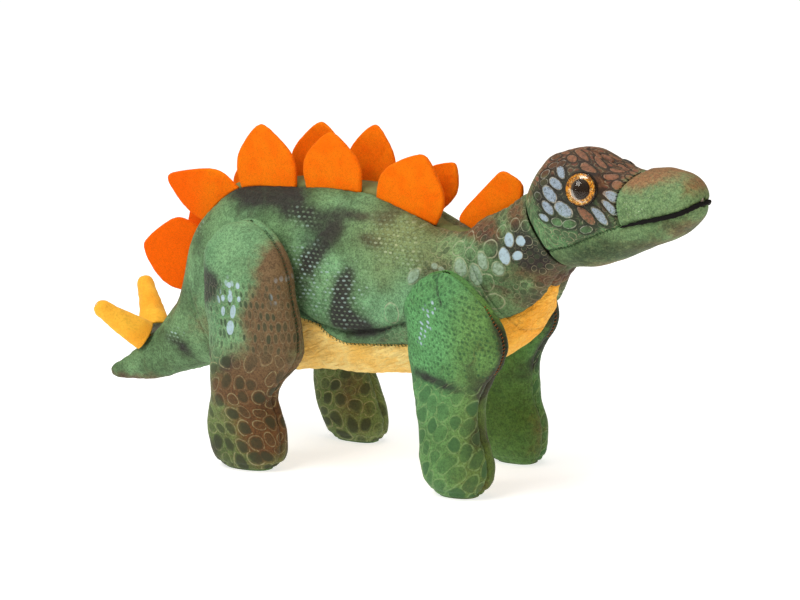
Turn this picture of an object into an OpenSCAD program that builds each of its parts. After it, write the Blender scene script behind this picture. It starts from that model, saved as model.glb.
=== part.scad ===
// Stuffed toy stegosaurus: cut-and-sewn fabric panels over loose stuffing cores.
// +X points to the snout, +Y to the animal's left, +Z up; the soles stand on Z = 0.

/* [Body] */
// Length from the snout to the tip of the tail
total_length = 320; // [290:1:350]
// Squareness of the body sections, where 2 is a plain ellipse
body_square = 2.3; // [2:0.1:2.8]

/* [Fabric] */
// Thickness of the backed plush fabric
fabric_t = 1.2; // [0.8:0.1:1.6]
// Space left between a fabric panel and the stuffing under it
stuffing_gap = 1.2; // [1.1:0.1:1.5]
// Width of the seam between two neighbouring panels, in degrees round a section
seam_deg = 0.8; // [0.4:0.1:1.5]

/* [Legs] */
// Distance from the middle of the animal to the middle of a leg
leg_y = 39.6; // [39.4:0.1:42]
// Height of the shoulder and hip pivots
leg_pivot_z = 84; // [80:1:88]
// How far the left hind foot stands ahead of the right one
left_hind_lean = 13; // [0:1:14]
// How far the left shoulder sits behind the right one
left_front_back = 20; // [0:1:22]
// How far the left front foot stands ahead of its shoulder
left_front_lean = 7; // [0:1:12]
// Thickness of the sole pads
sole_t = 1.6; // [1:0.1:1.8]

/* [Felt plates] */
// Thickness of the felt
plate_t = 2.6; // [2:0.1:3.5]
// Distance of the two rows of plates from the middle of the back
plate_row_y = 9.5; // [8:0.5:11]
// Clearance between a plate and the back
plate_lift = 1.1; // [0.9:0.1:2]

/* [Eyes] */
// Diameter of the safety eyes
eye_d = 16; // [13:0.5:16]
// How far the left eye is sewn behind the right one
left_eye_back = 3; // [0:0.5:4]
// Diameter of an eye's stem
stem_d = 3.2; // [2.5:0.1:4]

/* [Hidden] */
PANELS = ["torso_side_left", "torso_side_right", "back_gusset", "belly_panel", "torso_stuffing",
    "neck_side_left", "neck_side_right", "neck_stuffing",
    "crown_left", "crown_right", "snout_panel", "jaw_panel", "mouth_line", "head_stuffing",
    "tail_side_left", "tail_side_right", "tail_stuffing",
    "spike_left", "spike_left_stuffing", "spike_right", "spike_right_stuffing"];
EYES = ["eye_dome_left", "eye_iris_left", "eye_stem_left", "eye_washer_left",
    "eye_dome_right", "eye_iris_right", "eye_stem_right", "eye_washer_right"];
LEGS = ["hind_left_outer", "hind_left_inner", "hind_left_sole", "hind_left_stuffing",
    "hind_right_outer", "hind_right_inner", "hind_right_sole", "hind_right_stuffing",
    "front_left_outer", "front_left_inner", "front_left_sole", "front_left_stuffing",
    "front_right_outer", "front_right_inner", "front_right_sole", "front_right_stuffing"];
PLATES = ["plate_right_1", "plate_right_2", "plate_right_3", "plate_right_4", "plate_right_5",
    "plate_left_1", "plate_left_2", "plate_left_3", "plate_left_4", "plate_left_5", "plate_neck"];

$fn = 48;
k = total_length / 320;
core_inset = fabric_t + stuffing_gap;
green = "#4f8a55";
dark_green = "#3f5f45";
orange = "#ff7714";
yellow = "#f5c55a";
fill_white = "#efece4";

// Sections along the body: x, z of the centre, backward tilt, half height, half width,
// then the angles round the section of the lower and the upper seam.
TAIL = [[-159.4, 29.5, 20, 1.6, 1.6, -88, 88],
    [-156, 30.5, 20, 4.6, 4.2, -88, 88],
    [-150, 32.5, 20, 7, 6.6, -88, 88],
    [-141, 34.5, 22, 9.8, 9, -88, 88],
    [-131, 39, 28, 12.8, 11.5, -88, 88],
    [-121, 46, 31, 17, 14.5, -88, 88],
    [-110.5, 55, 29, 21.7, 17, -88, 88]];
tail_rim = 5;
TORSO = [[-110.5 + tail_rim * cos(29), 55 + tail_rim * sin(29), 29, 25.6, 18.6, -86, 79],
    [-97, 71.5, 20, 36.5, 22, -72, 76],
    [-77, 83, 16, 44.5, 25.6, -32, 74],
    [-50, 86.2, 5, 44.3, 26.8, -16, 73.5],
    [-20, 88, 0, 44, 27.2, -33, 73.5],
    [10, 86.5, 3, 40.3, 27, -32, 73.5],
    [30, 86.6, 15, 35.4, 26.4, -30, 74],
    [47, 92, 32, 30, 24.8, -28, 75],
    [55.6, 100.9, 43, 25.6, 23, -78, 76]];
NECK = [[60, 105, 43, 23.4, 21.8, -88, 88],
    [66, 110.6, 43.3, 21.6, 21, -88, 88],
    [71.5, 115.8, 43.4, 20.7, 20.4, -88, 88]];
HEAD = [[74.3, 118.5, 43.4, 20, 20, -52, 88],
    [81, 125.4, 35, 24.4, 22, -42, 88],
    [90.5, 132, 28, 26.6, 22.6, -30, 88],
    [103.5, 136, 19, 26.4, 21.8, -19, 88],
    [115.5, 136.4, 14, 23, 19, -14, 88],
    [126.5, 137, 14, 18.5, 16.6, -11, 88],
    [139.5, 141, 9, 16, 15, -10, 88],
    [151, 143.7, 5, 11.8, 12.4, -8, 88],
    [157, 143.4, 2, 6.6, 7.6, -4, 88],
    [159.6, 143.3, 0, 1.8, 2.4, -2, 88]];
snout_seam = 4.1;
head_end = len(HEAD) - 1;

// Legs: z, forward shift of the section, half length, half thickness.
HIND = [[2, 2, 14.6, 9.4], [8, 2, 17.8, 12], [18, 1, 19.2, 12], [33, 0, 17, 11.2], [46, 3, 20, 11.2],
    [57, 6.5, 23.5, 11.3], [78, 5, 23.2, 11.3], [93, 2, 22.6, 10.6], [104, -1, 18, 8.6], [110, -2, 12, 6],
    [114, -3, 3, 1.8]];
FRONT = [[2, 4, 12.6, 9.4], [8, 4, 15.8, 12.2], [18, 3, 17.4, 12], [30, 1, 16.4, 11.2], [46, 0, 16.8, 11],
    [58, 2, 20.6, 11.2], [72, 3.5, 24.8, 11.3], [83, 0, 24.2, 10.8], [90, -3, 20.6, 9], [96, -5, 14.8, 6.6],
    [102, -8, 3, 1.8]];
hind_x = -66;
front_x = 45;
left_front_x = front_x - left_front_back;

// Plates: front and back end of the base and the tip, as x, x, tip x, tip z.
RIGHT_ROW = [[-120.5, -111, -139, 91], [-108.5, -90.5, -122.5, 126], [-86, -57, -74, 155],
    [-49.5, -21.5, -36, 155.5], [-12, 17, 11, 149]];
LEFT_ROW = [[-116.5, -103, -123, 107], [-98, -75, -89, 138], [-69, -43.5, -54, 154],
    [-38.5, -15, -26, 156], [-10, 12, 17, 143]];
NECK_PLATE = [32, 57, 47, 144];

eye_x = 103.8;
eye_z = 146.5;
eye_y = 20.6;
left_eye_drop = 2;
left_eye_out = 0.8;
eye_up = 14;
eye_ahead = 5;

// Smooth curve through a table of sections, at position u.
function curve(a, b, c, d, f) =
    0.5 * (2 * b + (c - a) * f + (2 * a - 5 * b + 4 * c - d) * f * f + (3 * b - a - 3 * c + d) * f * f * f);
function at(list, u) =
    let (last = len(list) - 1, i = max(0, min(floor(u), last - 1)))
    curve(list[max(i - 1, 0)], list[i], list[i + 1], list[min(i + 2, last)], u - i);
function signed_pow(v, e) = sign(v) * pow(abs(v), e);
function steps(a, b, n) = [for (i = [0:n]) a + (b - a) * i / n];

// A point round a body section: angle 0 is the left side and 90 the top.
function body_point(s, a, inset) =
    let (e = 2 / body_square, h = (s[3] * k - inset) * signed_pow(sin(a), e),
        y = (s[4] * k - inset) * signed_pow(cos(a), e))
    [s[0] * k - h * sin(s[2]), y, s[1] * k + h * cos(s[2])];
function ahead(s) = [cos(s[2]), 0, sin(s[2])];
function body_ring(s, n, inset) = [for (j = [0:n - 1]) body_point(s, -90 + 360 * j / n, inset)];

// A point round a leg section; angle 90 is the left side.
function leg_point(s, a, inset, x, y, lean) =
    let (e = 2 / body_square)
    [x + (s[1] + lean * (1 - s[0] / leg_pivot_z)) * k + (s[2] * k - inset) * signed_pow(cos(a), e),
        y + (s[3] - inset) * signed_pow(sin(a), e), s[0] * k];

// A thin closed panel between an outer and an inner grid of points.
module sheet(outer, inner) {
    rows = len(outer);
    cols = len(outer[0]);
    n = rows * cols;
    skin = [for (i = [0:rows - 2], j = [0:cols - 2])
        let (a = i * cols + j, b = a + 1, c = a + cols + 1, d = a + cols) each [[a, b, c], [a, c, d]]];
    edge = concat([for (j = [0:cols - 1]) j], [for (i = [1:rows - 1]) i * cols + cols - 1],
        [for (j = [cols - 2:-1:0]) (rows - 1) * cols + j], [for (i = [rows - 2:-1:1]) i * cols]);
    m = len(edge);
    rim = [for (e = [0:m - 1])
        let (a = edge[e], b = edge[(e + 1) % m]) each [[b, a, a + n], [b, a + n, b + n]]];
    back = [for (f = skin) [f[2] + n, f[1] + n, f[0] + n]];
    polyhedron(concat([for (r = outer) each r], [for (r = inner) each r]), concat(skin, back, rim));
}

// A panel of the body: from section u0 to u1, between two angles that follow seam columns.
// arc is "left", "right", "over" or "under".
function arc_ends(s, arc) =
    arc == "left" ? [s[5] + seam_deg, s[6] - seam_deg] :
    arc == "right" ? [180 - s[6] + seam_deg, 180 - s[5] - seam_deg] :
    arc == "over" ? [s[6] + seam_deg, 180 - s[6] - seam_deg] :
    arc == "muzzle" ? [s[5] + seam_deg + mouth_deg, 180 - s[5] - seam_deg - mouth_deg] :
    [-180 - s[5] + seam_deg, s[5] - seam_deg];
mouth_deg = 3;
module body_panel(list, u0, u1, rows, cols, arc, trim = 0) {
    sections = [for (u = steps(u0, u1, rows)) at(list, u)];
    function grid(inset) = [for (s = sections)
        let (e = arc_ends(s, arc)) [for (a = steps(e[0] + trim, e[1] - trim, cols)) body_point(s, a, inset)]];
    sheet(grid(0), grid(fabric_t));
}

// A closed solid through a list of equal rings, with a round, hollow or flat cap at each end.
// Each cap turns about the line through two opposite points of its ring: pole picks the line.
function cap_points(ring, pole, cols, push) =
    let (n = len(ring))
    [for (m = [1:n / 2 - 1])
        let (a = ring[(pole + m) % n], b = ring[(pole - m + n) % n], mid = (a + b) / 2, half = (a - b) / 2)
        for (c = [1:cols - 1])
            mid + half * cos(180 * c / cols) + push * norm(half) * sin(180 * c / cols)];
function cap_faces(n, first, extra, pole, cols, flip) =
    let (last = n / 2 - 1)
    [for (f = concat(
        [for (c = [0:cols - 1]) [[0, 0], [1, c], [1, c + 1]]],
        [for (m = [1:last - 1], c = [0:cols - 1]) each [[[m, c], [m + 1, c], [m + 1, c + 1]],
            [[m, c], [m + 1, c + 1], [m, c + 1]]]],
        [for (c = [0:cols - 1]) [[last, c + 1], [last, c], [last + 1, 0]]]))
        let (t = [for (v = f) v[0] == 0 ? first + pole :
            v[0] == last + 1 ? first + (pole + n / 2) % n :
            v[1] == 0 ? first + (pole + v[0]) % n :
            v[1] == cols ? first + (pole - v[0] + n) % n :
            extra + (v[0] - 1) * (cols - 1) + v[1] - 1])
        flip ? [t[0], t[2], t[1]] : t];
module loft(rings, start_push, start_pole, end_push, end_pole, cols = 6) {
    n = len(rings[0]);
    rows = len(rings);
    caps = rows * n;
    per_cap = (n / 2 - 1) * (cols - 1);
    sides = [for (i = [0:rows - 2], j = [0:n - 1])
        let (a = i * n + j, b = i * n + (j + 1) % n, c = b + n, d = a + n) each [[a, b, c], [a, c, d]]];
    polyhedron(
        concat([for (r = rings) each r],
            cap_points(rings[0], start_pole, cols, start_push),
            cap_points(rings[rows - 1], end_pole, cols, end_push)),
        concat(sides, cap_faces(n, 0, caps, start_pole, cols, true),
            cap_faces(n, (rows - 1) * n, caps + per_cap, end_pole, cols, false)));
}
ring_n = 20;
side_pole = ring_n / 4;
module body_core(list, rows, start_push, start_pole, end_push, end_pole) {
    last = len(list) - 1;
    rings = [for (u = steps(0, last, rows)) body_ring(at(list, u), ring_n, min(core_inset, 0.6 * at(list, u)[4]))];
    loft(rings, start_push * ahead(list[0]), start_pole, end_push * ahead(list[last]), end_pole);
}

// Torso: two sides, the strip along the back, the belly, and the stuffing with its two sockets.
module torso_side_left() color(green) body_panel(TORSO, 0, 8, 14, 7, "left");
module torso_side_right() color(green) body_panel(TORSO, 0, 8, 14, 7, "right");
module back_gusset() color(dark_green) body_panel(TORSO, 0, 8, 14, 3, "over");
module belly_panel() color(yellow) body_panel(TORSO, 0.6, 7.9, 18, 8, "under");
module torso_stuffing() color(fill_white) body_core(TORSO, 14, 1, 0, -1, 0);

// Neck: a dome turns in the torso's socket, and a hollow at the top takes the head's dome.
module neck_side_left() color(green) body_panel(NECK, 0, 2, 3, 8, "left");
module neck_side_right() color(green) body_panel(NECK, 0, 2, 3, 8, "right");
module neck_stuffing() color(fill_white) body_core(NECK, 3, -1, 0, -1, side_pole);

// Tail: its dome turns in the torso's rear socket.
module tail_side_left() color(green) body_panel(TAIL, 0, 6, 8, 7, "left");
module tail_side_right() color(green) body_panel(TAIL, 0, 6, 8, 7, "right");
module tail_stuffing() color(fill_white) body_core(TAIL, 8, 0, 0, 1, 0);

// Head: two crown panels, a muzzle panel, a jaw panel and the stuffing.
module eye_place(side) {
    left = side > 0 ? 1 : 0;
    place = [eye_x - left * left_eye_back, side * eye_y + left * left_eye_out, eye_z - left * left_eye_drop];
    translate(place * k) rotate([-side * (90 - eye_up), 0, -side * eye_ahead])
        children();
}
module crown(side) {
    difference() {
        body_panel(HEAD, 0, snout_seam - 0.05, 7, 6, side > 0 ? "left" : "right");
        eye_place(side) translate([0, 0, -6]) cylinder(d = stem_d + 0.8, h = 12);
    }
}
module crown_left() color(dark_green) crown(1);
module crown_right() color(dark_green) crown(-1);
module snout_panel() color(green) body_panel(HEAD, snout_seam + 0.02, head_end, 7, 10, "muzzle");
module jaw_panel() color(green) body_panel(HEAD, 0, head_end, 12, 8, "under", mouth_deg);
module mouth_bead(side) {
    sections = [for (u = steps(snout_seam, head_end - 0.1, 8)) at(HEAD, u)];
    function bead(inset) = [for (s = sections) [for (a = [-1.8, 1.8])
        body_point(s, side > 0 ? s[5] + a : 180 - s[5] + a, inset)]];
    sheet(bead(-0.4), bead(fabric_t));
}
module mouth_line() {
    color("#141414") mouth_bead(1);
    color("#141414") mouth_bead(-1);
}
module head_stuffing() {
    color(fill_white) difference() {
        body_core(HEAD, 12, -1, side_pole, 0, 0);
        for (side = [-1, 1]) eye_place(side) translate([0, 0, -11]) cylinder(d = washer_d + 1.2, h = 14);
    }
}

// Safety eyes, built outwards from the fabric: washer inside, stem with its back plate, iris, clear dome.
washer_d = 12;
back_plate_t = 1.2;
plate_base = 0.5;
iris_base = plate_base + back_plate_t + 0.1;
dome_h = 5;
dome_wall = 0.9;
module eye_stem(side) {
    color("#141414") eye_place(side) {
        translate([0, 0, plate_base]) cylinder(d = eye_d, h = back_plate_t);
        translate([0, 0, -9]) cylinder(d = stem_d, h = 9 + plate_base);
    }
}
module eye_washer(side) {
    color("#d8d8d8") eye_place(side) translate([0, 0, -5.2]) difference() {
        cylinder(d = washer_d, h = 1.4);
        translate([0, 0, -1]) cylinder(d = stem_d + 0.1, h = 4);
    }
}
module eye_iris(side) {
    color("#c08a2a") eye_place(side) translate([0, 0, iris_base]) cylinder(d = eye_d - 3, h = 0.6);
}
module half_lens(d, h) {
    r = (d * d / 4 + h * h) / (2 * h);
    rotate_extrude() intersection() {
        translate([0, h - r]) circle(r);
        square([d, h]);
    }
}
module eye_dome(side) {
    color([0.2, 0.15, 0.1, 0.5]) eye_place(side) translate([0, 0, iris_base]) difference() {
        half_lens(eye_d, dome_h);
        translate([0, 0, -0.01]) half_lens(eye_d - 2 * dome_wall, dome_h - dome_wall);
    }
}
module eye_dome_left() eye_dome(1);
module eye_iris_left() eye_iris(1);
module eye_stem_left() eye_stem(1);
module eye_washer_left() eye_washer(1);
module eye_dome_right() eye_dome(-1);
module eye_iris_right() eye_iris(-1);
module eye_stem_right() eye_stem(-1);
module eye_washer_right() eye_washer(-1);

// Tail spikes: a fabric cone with one lengthwise seam, and its stuffing.
spike_root = [-139, 7, 51];
spike_tip = [-153, 19.5, 65];
spike_r = 5.6;
spike_tip_r = 3.6;
function spike_ring(side, f, r) =
    let (root = [spike_root[0], side * spike_root[1], spike_root[2]] * k,
        tip = [spike_tip[0], side * spike_tip[1], spike_tip[2]] * k,
        d = (tip - root) / norm(tip - root), p = [-d[2], 0, d[0]] / norm([d[2], 0, d[0]]), q = cross(d, p))
    circle_points(root + (tip - root) * f, p, q, r);
function circle_points(c, p, q, r) = [for (a = [2:356 / 12:359]) c + p * r * cos(a) + q * r * sin(a)];
SPIKE = [[0, spike_r], [0.3, spike_r * 1.02], [0.6, spike_r * 0.9], [0.85, spike_tip_r],
    [0.96, spike_tip_r * 0.62], [1, spike_tip_r * 0.25]];
module spike(side) {
    outer = [for (s = SPIKE) spike_ring(side, s[0], s[1] * k)];
    inner = [for (s = SPIKE) spike_ring(side, min(s[0], 0.93) , max(s[1] * k - fabric_t, 0.3))];
    color(yellow) sheet(outer, inner);
}
module spike_stuffing(side) {
    root = [spike_root[0], side * spike_root[1], spike_root[2]] * k;
    tip = [spike_tip[0], side * spike_tip[1], spike_tip[2]] * k;
    d = tip - root;
    color(fill_white) translate(root) rotate([0, acos(d[2] / norm(d)), atan2(d[1], d[0])])
        translate([0, 0, 0.2]) cylinder(r1 = (spike_r * k - core_inset) * 0.96,
            r2 = (spike_tip_r * k - core_inset) * 0.9, h = norm(d) * 0.84);
}
module spike_left() spike(1);
module spike_left_stuffing() spike_stuffing(1);
module spike_right() spike(-1);
module spike_right_stuffing() spike_stuffing(-1);

// Legs: outer and inner panel, sole pad and stuffing.
leg_rows = 11;
module leg_panel(list, x, side, lean, start) {
    function grid(inset) = [for (u = steps(0, len(list) - 1, leg_rows))
        [for (a = steps(start + 1, start + 179, 8))
            leg_point(at(list, u), a, min(inset, 0.5 * at(list, u)[3]), x * k, side * leg_y * k, lean)]];
    color(green) sheet(grid(0), grid(fabric_t));
}
module leg_core(list, x, side, lean) {
    rings = [for (u = steps(0, len(list) - 1.15, leg_rows)) [for (j = [0:15])
        leg_point(at(list, u), 360 * j / 16, min(core_inset, 0.8 * at(list, u)[3]), x * k, side * leg_y * k, lean)]];
    color(fill_white) translate([0, 0, 0.3]) loft(rings, [0, 0, 0], 0, [0, 0, 0], 0, 4);
}
module leg_sole(list, x, side, lean) {
    foot = list[0];
    color(dark_green) linear_extrude(sole_t * k) polygon([for (j = [0:31])
        let (p = leg_point(foot, 360 * j / 32, 0.4, x * k, side * leg_y * k, lean)) [p[0], p[1]]]);
}
module hind_left_outer() leg_panel(HIND, hind_x, 1, left_hind_lean, 0);
module hind_left_inner() leg_panel(HIND, hind_x, 1, left_hind_lean, 180);
module hind_left_sole() leg_sole(HIND, hind_x, 1, left_hind_lean);
module hind_left_stuffing() leg_core(HIND, hind_x, 1, left_hind_lean);
module hind_right_outer() leg_panel(HIND, hind_x, -1, 0, 180);
module hind_right_inner() leg_panel(HIND, hind_x, -1, 0, 0);
module hind_right_sole() leg_sole(HIND, hind_x, -1, 0);
module hind_right_stuffing() leg_core(HIND, hind_x, -1, 0);
module front_left_outer() leg_panel(FRONT, left_front_x, 1, left_front_lean, 0);
module front_left_inner() leg_panel(FRONT, left_front_x, 1, left_front_lean, 180);
module front_left_sole() leg_sole(FRONT, left_front_x, 1, left_front_lean);
module front_left_stuffing() leg_core(FRONT, left_front_x, 1, left_front_lean);
module front_right_outer() leg_panel(FRONT, front_x, -1, 0, 180);
module front_right_inner() leg_panel(FRONT, front_x, -1, 0, 0);
module front_right_sole() leg_sole(FRONT, front_x, -1, 0);
module front_right_stuffing() leg_core(FRONT, front_x, -1, 0);

// Felt plates: leaf outlines whose bases follow the seam along the back.
function back_line(list, a) = [for (u = steps(0, len(list) - 1, 40)) let (p = body_point(at(list, u), a, 0)) [p[0], p[2]]];
TORSO_BACK = back_line(TORSO, 80);
NECK_BACK = concat([for (p = back_line(TORSO, 90)) if (p[0] < 40 * k) p], [for (p = back_line(NECK, 90)) p]);
function base_point(line, x, lift) =
    let (a = [x - 1, lookup(x - 1, line)], b = [x + 1, lookup(x + 1, line)], d = (b - a) / norm(b - a))
    [x, lookup(x, line)] + lift * [-d[1], d[0]];
function bezier(a, b, c, n) = [for (i = [0:n]) let (t = i / n) (1 - t) * (1 - t) * a + 2 * t * (1 - t) * b + t * t * c];
function leaf(line, spec) =
    let (xa = spec[0] * k, xb = spec[1] * k, tip = [spec[2], spec[3]] * k,
        base = [for (x = steps(xb, xa, 5)) base_point(line, x, plate_lift)],
        a = base[len(base) - 1], b = base[0], out = tip - (a + b) / 2,
        bulge = (b - a) * 0.16, nose = (b - a) * 0.05)
    concat(base,
        bezier(a, a + out * 0.55 - bulge, tip - out * 0.05 - nose, 7),
        bezier(tip - out * 0.05 + nose, b + out * 0.55 + bulge, b, 7));
module plate(line, spec, y) {
    color(orange) translate([0, y + plate_t / 2, 0]) rotate([90, 0, 0]) linear_extrude(plate_t)
        polygon(leaf(line, spec));
}
module plate_right_1() plate(TORSO_BACK, RIGHT_ROW[0], -plate_row_y * 0.6);
module plate_right_2() plate(TORSO_BACK, RIGHT_ROW[1], -plate_row_y * 0.8);
module plate_right_3() plate(TORSO_BACK, RIGHT_ROW[2], -plate_row_y);
module plate_right_4() plate(TORSO_BACK, RIGHT_ROW[3], -plate_row_y);
module plate_right_5() plate(TORSO_BACK, RIGHT_ROW[4], -plate_row_y);
module plate_left_1() plate(TORSO_BACK, LEFT_ROW[0], plate_row_y * 0.6);
module plate_left_2() plate(TORSO_BACK, LEFT_ROW[1], plate_row_y * 0.8);
module plate_left_3() plate(TORSO_BACK, LEFT_ROW[2], plate_row_y);
module plate_left_4() plate(TORSO_BACK, LEFT_ROW[3], plate_row_y);
module plate_left_5() plate(TORSO_BACK, LEFT_ROW[4], plate_row_y);
module plate_neck() plate(NECK_BACK, NECK_PLATE, 0);

torso_side_left();
torso_side_right();
back_gusset();
belly_panel();
torso_stuffing();
neck_side_left();
neck_side_right();
neck_stuffing();
crown_left();
crown_right();
snout_panel();
jaw_panel();
mouth_line();
head_stuffing();
tail_side_left();
tail_side_right();
tail_stuffing();
spike_left();
spike_left_stuffing();
spike_right();
spike_right_stuffing();
eye_dome_left();
eye_iris_left();
eye_stem_left();
eye_washer_left();
eye_dome_right();
eye_iris_right();
eye_stem_right();
eye_washer_right();
hind_left_outer();
hind_left_inner();
hind_left_sole();
hind_left_stuffing();
hind_right_outer();
hind_right_inner();
hind_right_sole();
hind_right_stuffing();
front_left_outer();
front_left_inner();
front_left_sole();
front_left_stuffing();
front_right_outer();
front_right_inner();
front_right_sole();
front_right_stuffing();
plate_right_1();
plate_right_2();
plate_right_3();
plate_right_4();
plate_right_5();
plate_left_1();
plate_left_2();
plate_left_3();
plate_left_4();
plate_left_5();
plate_neck();
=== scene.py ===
"""Looks of the stuffed dinosaur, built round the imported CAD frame.

Shapes are worked out in millimetres, as in the CAD model, and become metres when a mesh is made.
"""

import bpy
import numpy as np
from mathutils import Matrix


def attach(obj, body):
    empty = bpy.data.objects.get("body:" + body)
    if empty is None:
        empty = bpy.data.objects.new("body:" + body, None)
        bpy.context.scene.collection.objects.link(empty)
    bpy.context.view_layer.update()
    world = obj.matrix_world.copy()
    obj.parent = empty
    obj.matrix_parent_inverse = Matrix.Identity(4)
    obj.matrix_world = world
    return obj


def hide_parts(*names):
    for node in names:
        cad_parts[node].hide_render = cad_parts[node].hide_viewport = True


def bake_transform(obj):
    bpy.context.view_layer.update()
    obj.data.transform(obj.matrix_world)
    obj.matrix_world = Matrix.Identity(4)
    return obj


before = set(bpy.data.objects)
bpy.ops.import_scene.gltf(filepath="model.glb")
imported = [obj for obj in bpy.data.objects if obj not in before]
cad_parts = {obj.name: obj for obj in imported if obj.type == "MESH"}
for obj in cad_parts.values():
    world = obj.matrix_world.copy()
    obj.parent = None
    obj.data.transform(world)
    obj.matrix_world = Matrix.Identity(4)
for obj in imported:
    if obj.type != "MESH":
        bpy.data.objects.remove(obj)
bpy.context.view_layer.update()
MM = 0.001
BODY_SQUARE, LEG_SQUARE_OUT, LEG_SQUARE_IN = 2.3, 2.25, 2.7
THINNEST = 0.3
BODY_CLOTH, HEAD_CLOTH, LEG_CLOTH, SPIKE_CLOTH = 1.1, 1.0, 0.9, 0.8
SEAM_GAP = 0.12

# Sections along the tail, torso and neck: x, z of the centre, tilt, half height, half width,
# then the angles of the lower and the upper panel seam (0 is the side, 90 the top).
BODY = [
    (-161.2, 26.8, 12, 1.6, 1.4, -80, 84), (-158.6, 27.4, 15, 4.2, 3.8, -80, 84),
    (-151.5, 29.2, 18, 6.2, 5.8, -80, 84), (-142, 32.8, 22, 8.5, 8, -80, 84),
    (-131.5, 38.8, 26, 11.2, 10.4, -80, 84), (-120, 47.3, 24, 15, 13.6, -80, 83),
    (-110, 55.5, 27, 20.1, 17.2, -78, 81), (-97, 71, 20, 36.1, 22.6, -64, 77),
    (-77, 82.8, 14, 44.3, 26.4, -32, 74.5), (-50, 86.2, 5, 44.5, 27.6, -16, 73.5),
    (-20, 87.8, 0, 44.3, 28, -33, 73.5), (10, 85.4, 5, 38.9, 27.8, -32, 76),
    (30, 85.7, 15, 33.2, 26.4, -30, 82.5), (48.3, 92.1, 32, 29.4, 24.6, -27, 83.5),
    (58.6, 105.2, 42, 24.8, 21.8, -70, 84), (67.3, 113.2, 39, 21.3, 19.8, -80, 84),
    (78, 122.2, 33, 20.2, 19.3, -80, 84)]
TAIL_CUT, NECK_CUT, COLLAR_CUT, BODY_END = 6.6, 13.3, 14.75, 16.0
TAIL_JOINT = np.array([-110.5, 0, 55.0])
NECK_JOINT = np.array([60, 0, 105.0])
HEAD_JOINT = np.array([74.3, 0, 118.5])

# Head: the same columns; the lower seam is the mouth line and the cheek seam behind it.
HEAD = [
    (78, 122.2, 33, 20.4, 19.7, -26, 88), (83, 127.2, 30, 24.2, 21.7, -28, 88),
    (91, 132.3, 25.5, 28.2, 22.6, -28.2, 88), (103.5, 135.7, 19, 26.9, 21.8, -24.4, 88),
    (115.5, 135.4, 14, 21.8, 19, -16.4, 88), (126.5, 136.6, 14, 17.9, 16.6, -12.1, 88),
    (139.5, 140, 9, 16.3, 14.8, -13, 88), (149.4, 142.6, 5, 12.4, 11.6, -15.5, 88),
    (154, 142.7, 2, 7.8, 7.6, -10, 88), (156.3, 142.6, 0, 2.2, 2.6, -4, 88)]
SNOUT_SEAM, HEAD_TIP = 4.4, 8.93
SEAM_STEP = 0.03

# Legs: z, forward shift, half length, outward and inward half thickness, distance from the middle.
HIND = [
    (0.3, 2, 10.5, 6, 6, 37), (1.6, 2, 14, 8.8, 8.8, 37), (4.5, 2, 16.7, 11.4, 11.4, 37),
    (9, 1.8, 18.3, 13, 12.8, 37), (18, 1, 19.1, 13.4, 13, 37), (26, 0.2, 17.8, 12.9, 12.4, 37.2),
    (34, -0.6, 16.5, 12.3, 11.6, 37.5), (42, 1.6, 18.8, 12.2, 11.3, 38.2),
    (49, 4.6, 22, 12.4, 11.2, 38.8), (56, 6.7, 24, 12.6, 11, 39.4), (66, 6.8, 23.8, 12.4, 10.9, 39.6),
    (79, 5.1, 23.5, 12, 10.9, 39.6), (91, 2.8, 23, 11.6, 10.9, 38.9), (101, 0, 20.2, 10.4, 10.3, 37.2),
    (107.5, -1.5, 15.4, 8.6, 8.8, 34.6), (112, -2.5, 9.4, 5.6, 6, 31.8), (114.6, -3, 2.4, 1.8, 2, 29)]
FRONT = [
    (0.3, 3.2, 8.5, 6, 6, 37), (1.6, 3.0, 11.8, 8.8, 8.8, 37), (4.5, 2.8, 14, 11.4, 11.4, 37),
    (9, 2.4, 16.2, 13, 12.8, 37), (16, 1.7, 17.4, 13.2, 12.8, 37), (23, 1.1, 16.8, 12.8, 12.2, 37.3),
    (30, 0.1, 16, 12.3, 11.6, 37.7), (40, -0.9, 16.4, 12.1, 11.3, 38.2),
    (48, -0.6, 17.7, 12.2, 11.2, 38.7), (56, 1.2, 20, 12.5, 11.3, 39.2), (64, 3, 23.6, 12.7, 11.4, 39.4),
    (72, 3.6, 25.3, 12.6, 11.4, 39.4), (79, 2.2, 25.3, 12.2, 11.3, 39), (85, -0.8, 23.8, 11.4, 10.6, 38),
    (91, -3.4, 20, 10, 9.4, 36.4), (96, -5.4, 14.6, 7.8, 7.6, 34.4), (100, -7.2, 8.6, 5, 5, 31.8),
    (102.2, -8.3, 2.4, 1.8, 1.8, 29.6)]
LEG_PIVOT_Z = 84.0
# Each leg's sections, x, side, forward lean at the foot, and how slim it is.
LEGS = {
    "hind_left": (HIND, -66, 1, 14, 0.89),
    "hind_right": (HIND, -66, -1, 0, 1.0),
    "front_left": (FRONT, 24, 1, 8.6, 1.0),
    "front_right": (FRONT, 45, -1, 0, 1.0)}

# Felt plates: back and front end of the base, tip x, tip z.
RIGHT_ROW = [
    (-120, -110.5, -138.4, 91.4), (-108, -88.5, -122.6, 126.4), (-85.6, -55.6, -74, 155),
    (-50, -20.8, -36, 155.7), (-12.2, 17.8, 11.9, 149.5)]
RIGHT_BULGE = (1.5, 2.5, 0.4, 0, 0)
LEFT_ROW = [
    (-116, -102, -122.5, 107), (-98, -74, -89, 138), (-69, -42.5, -54, 154.5), (-39.5, -15, -26, 156),
    (-10, 12, 17.5, 143.3)]
NECK_PLATE = (33.8, 59.2, 47.6, 144.3)
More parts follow.
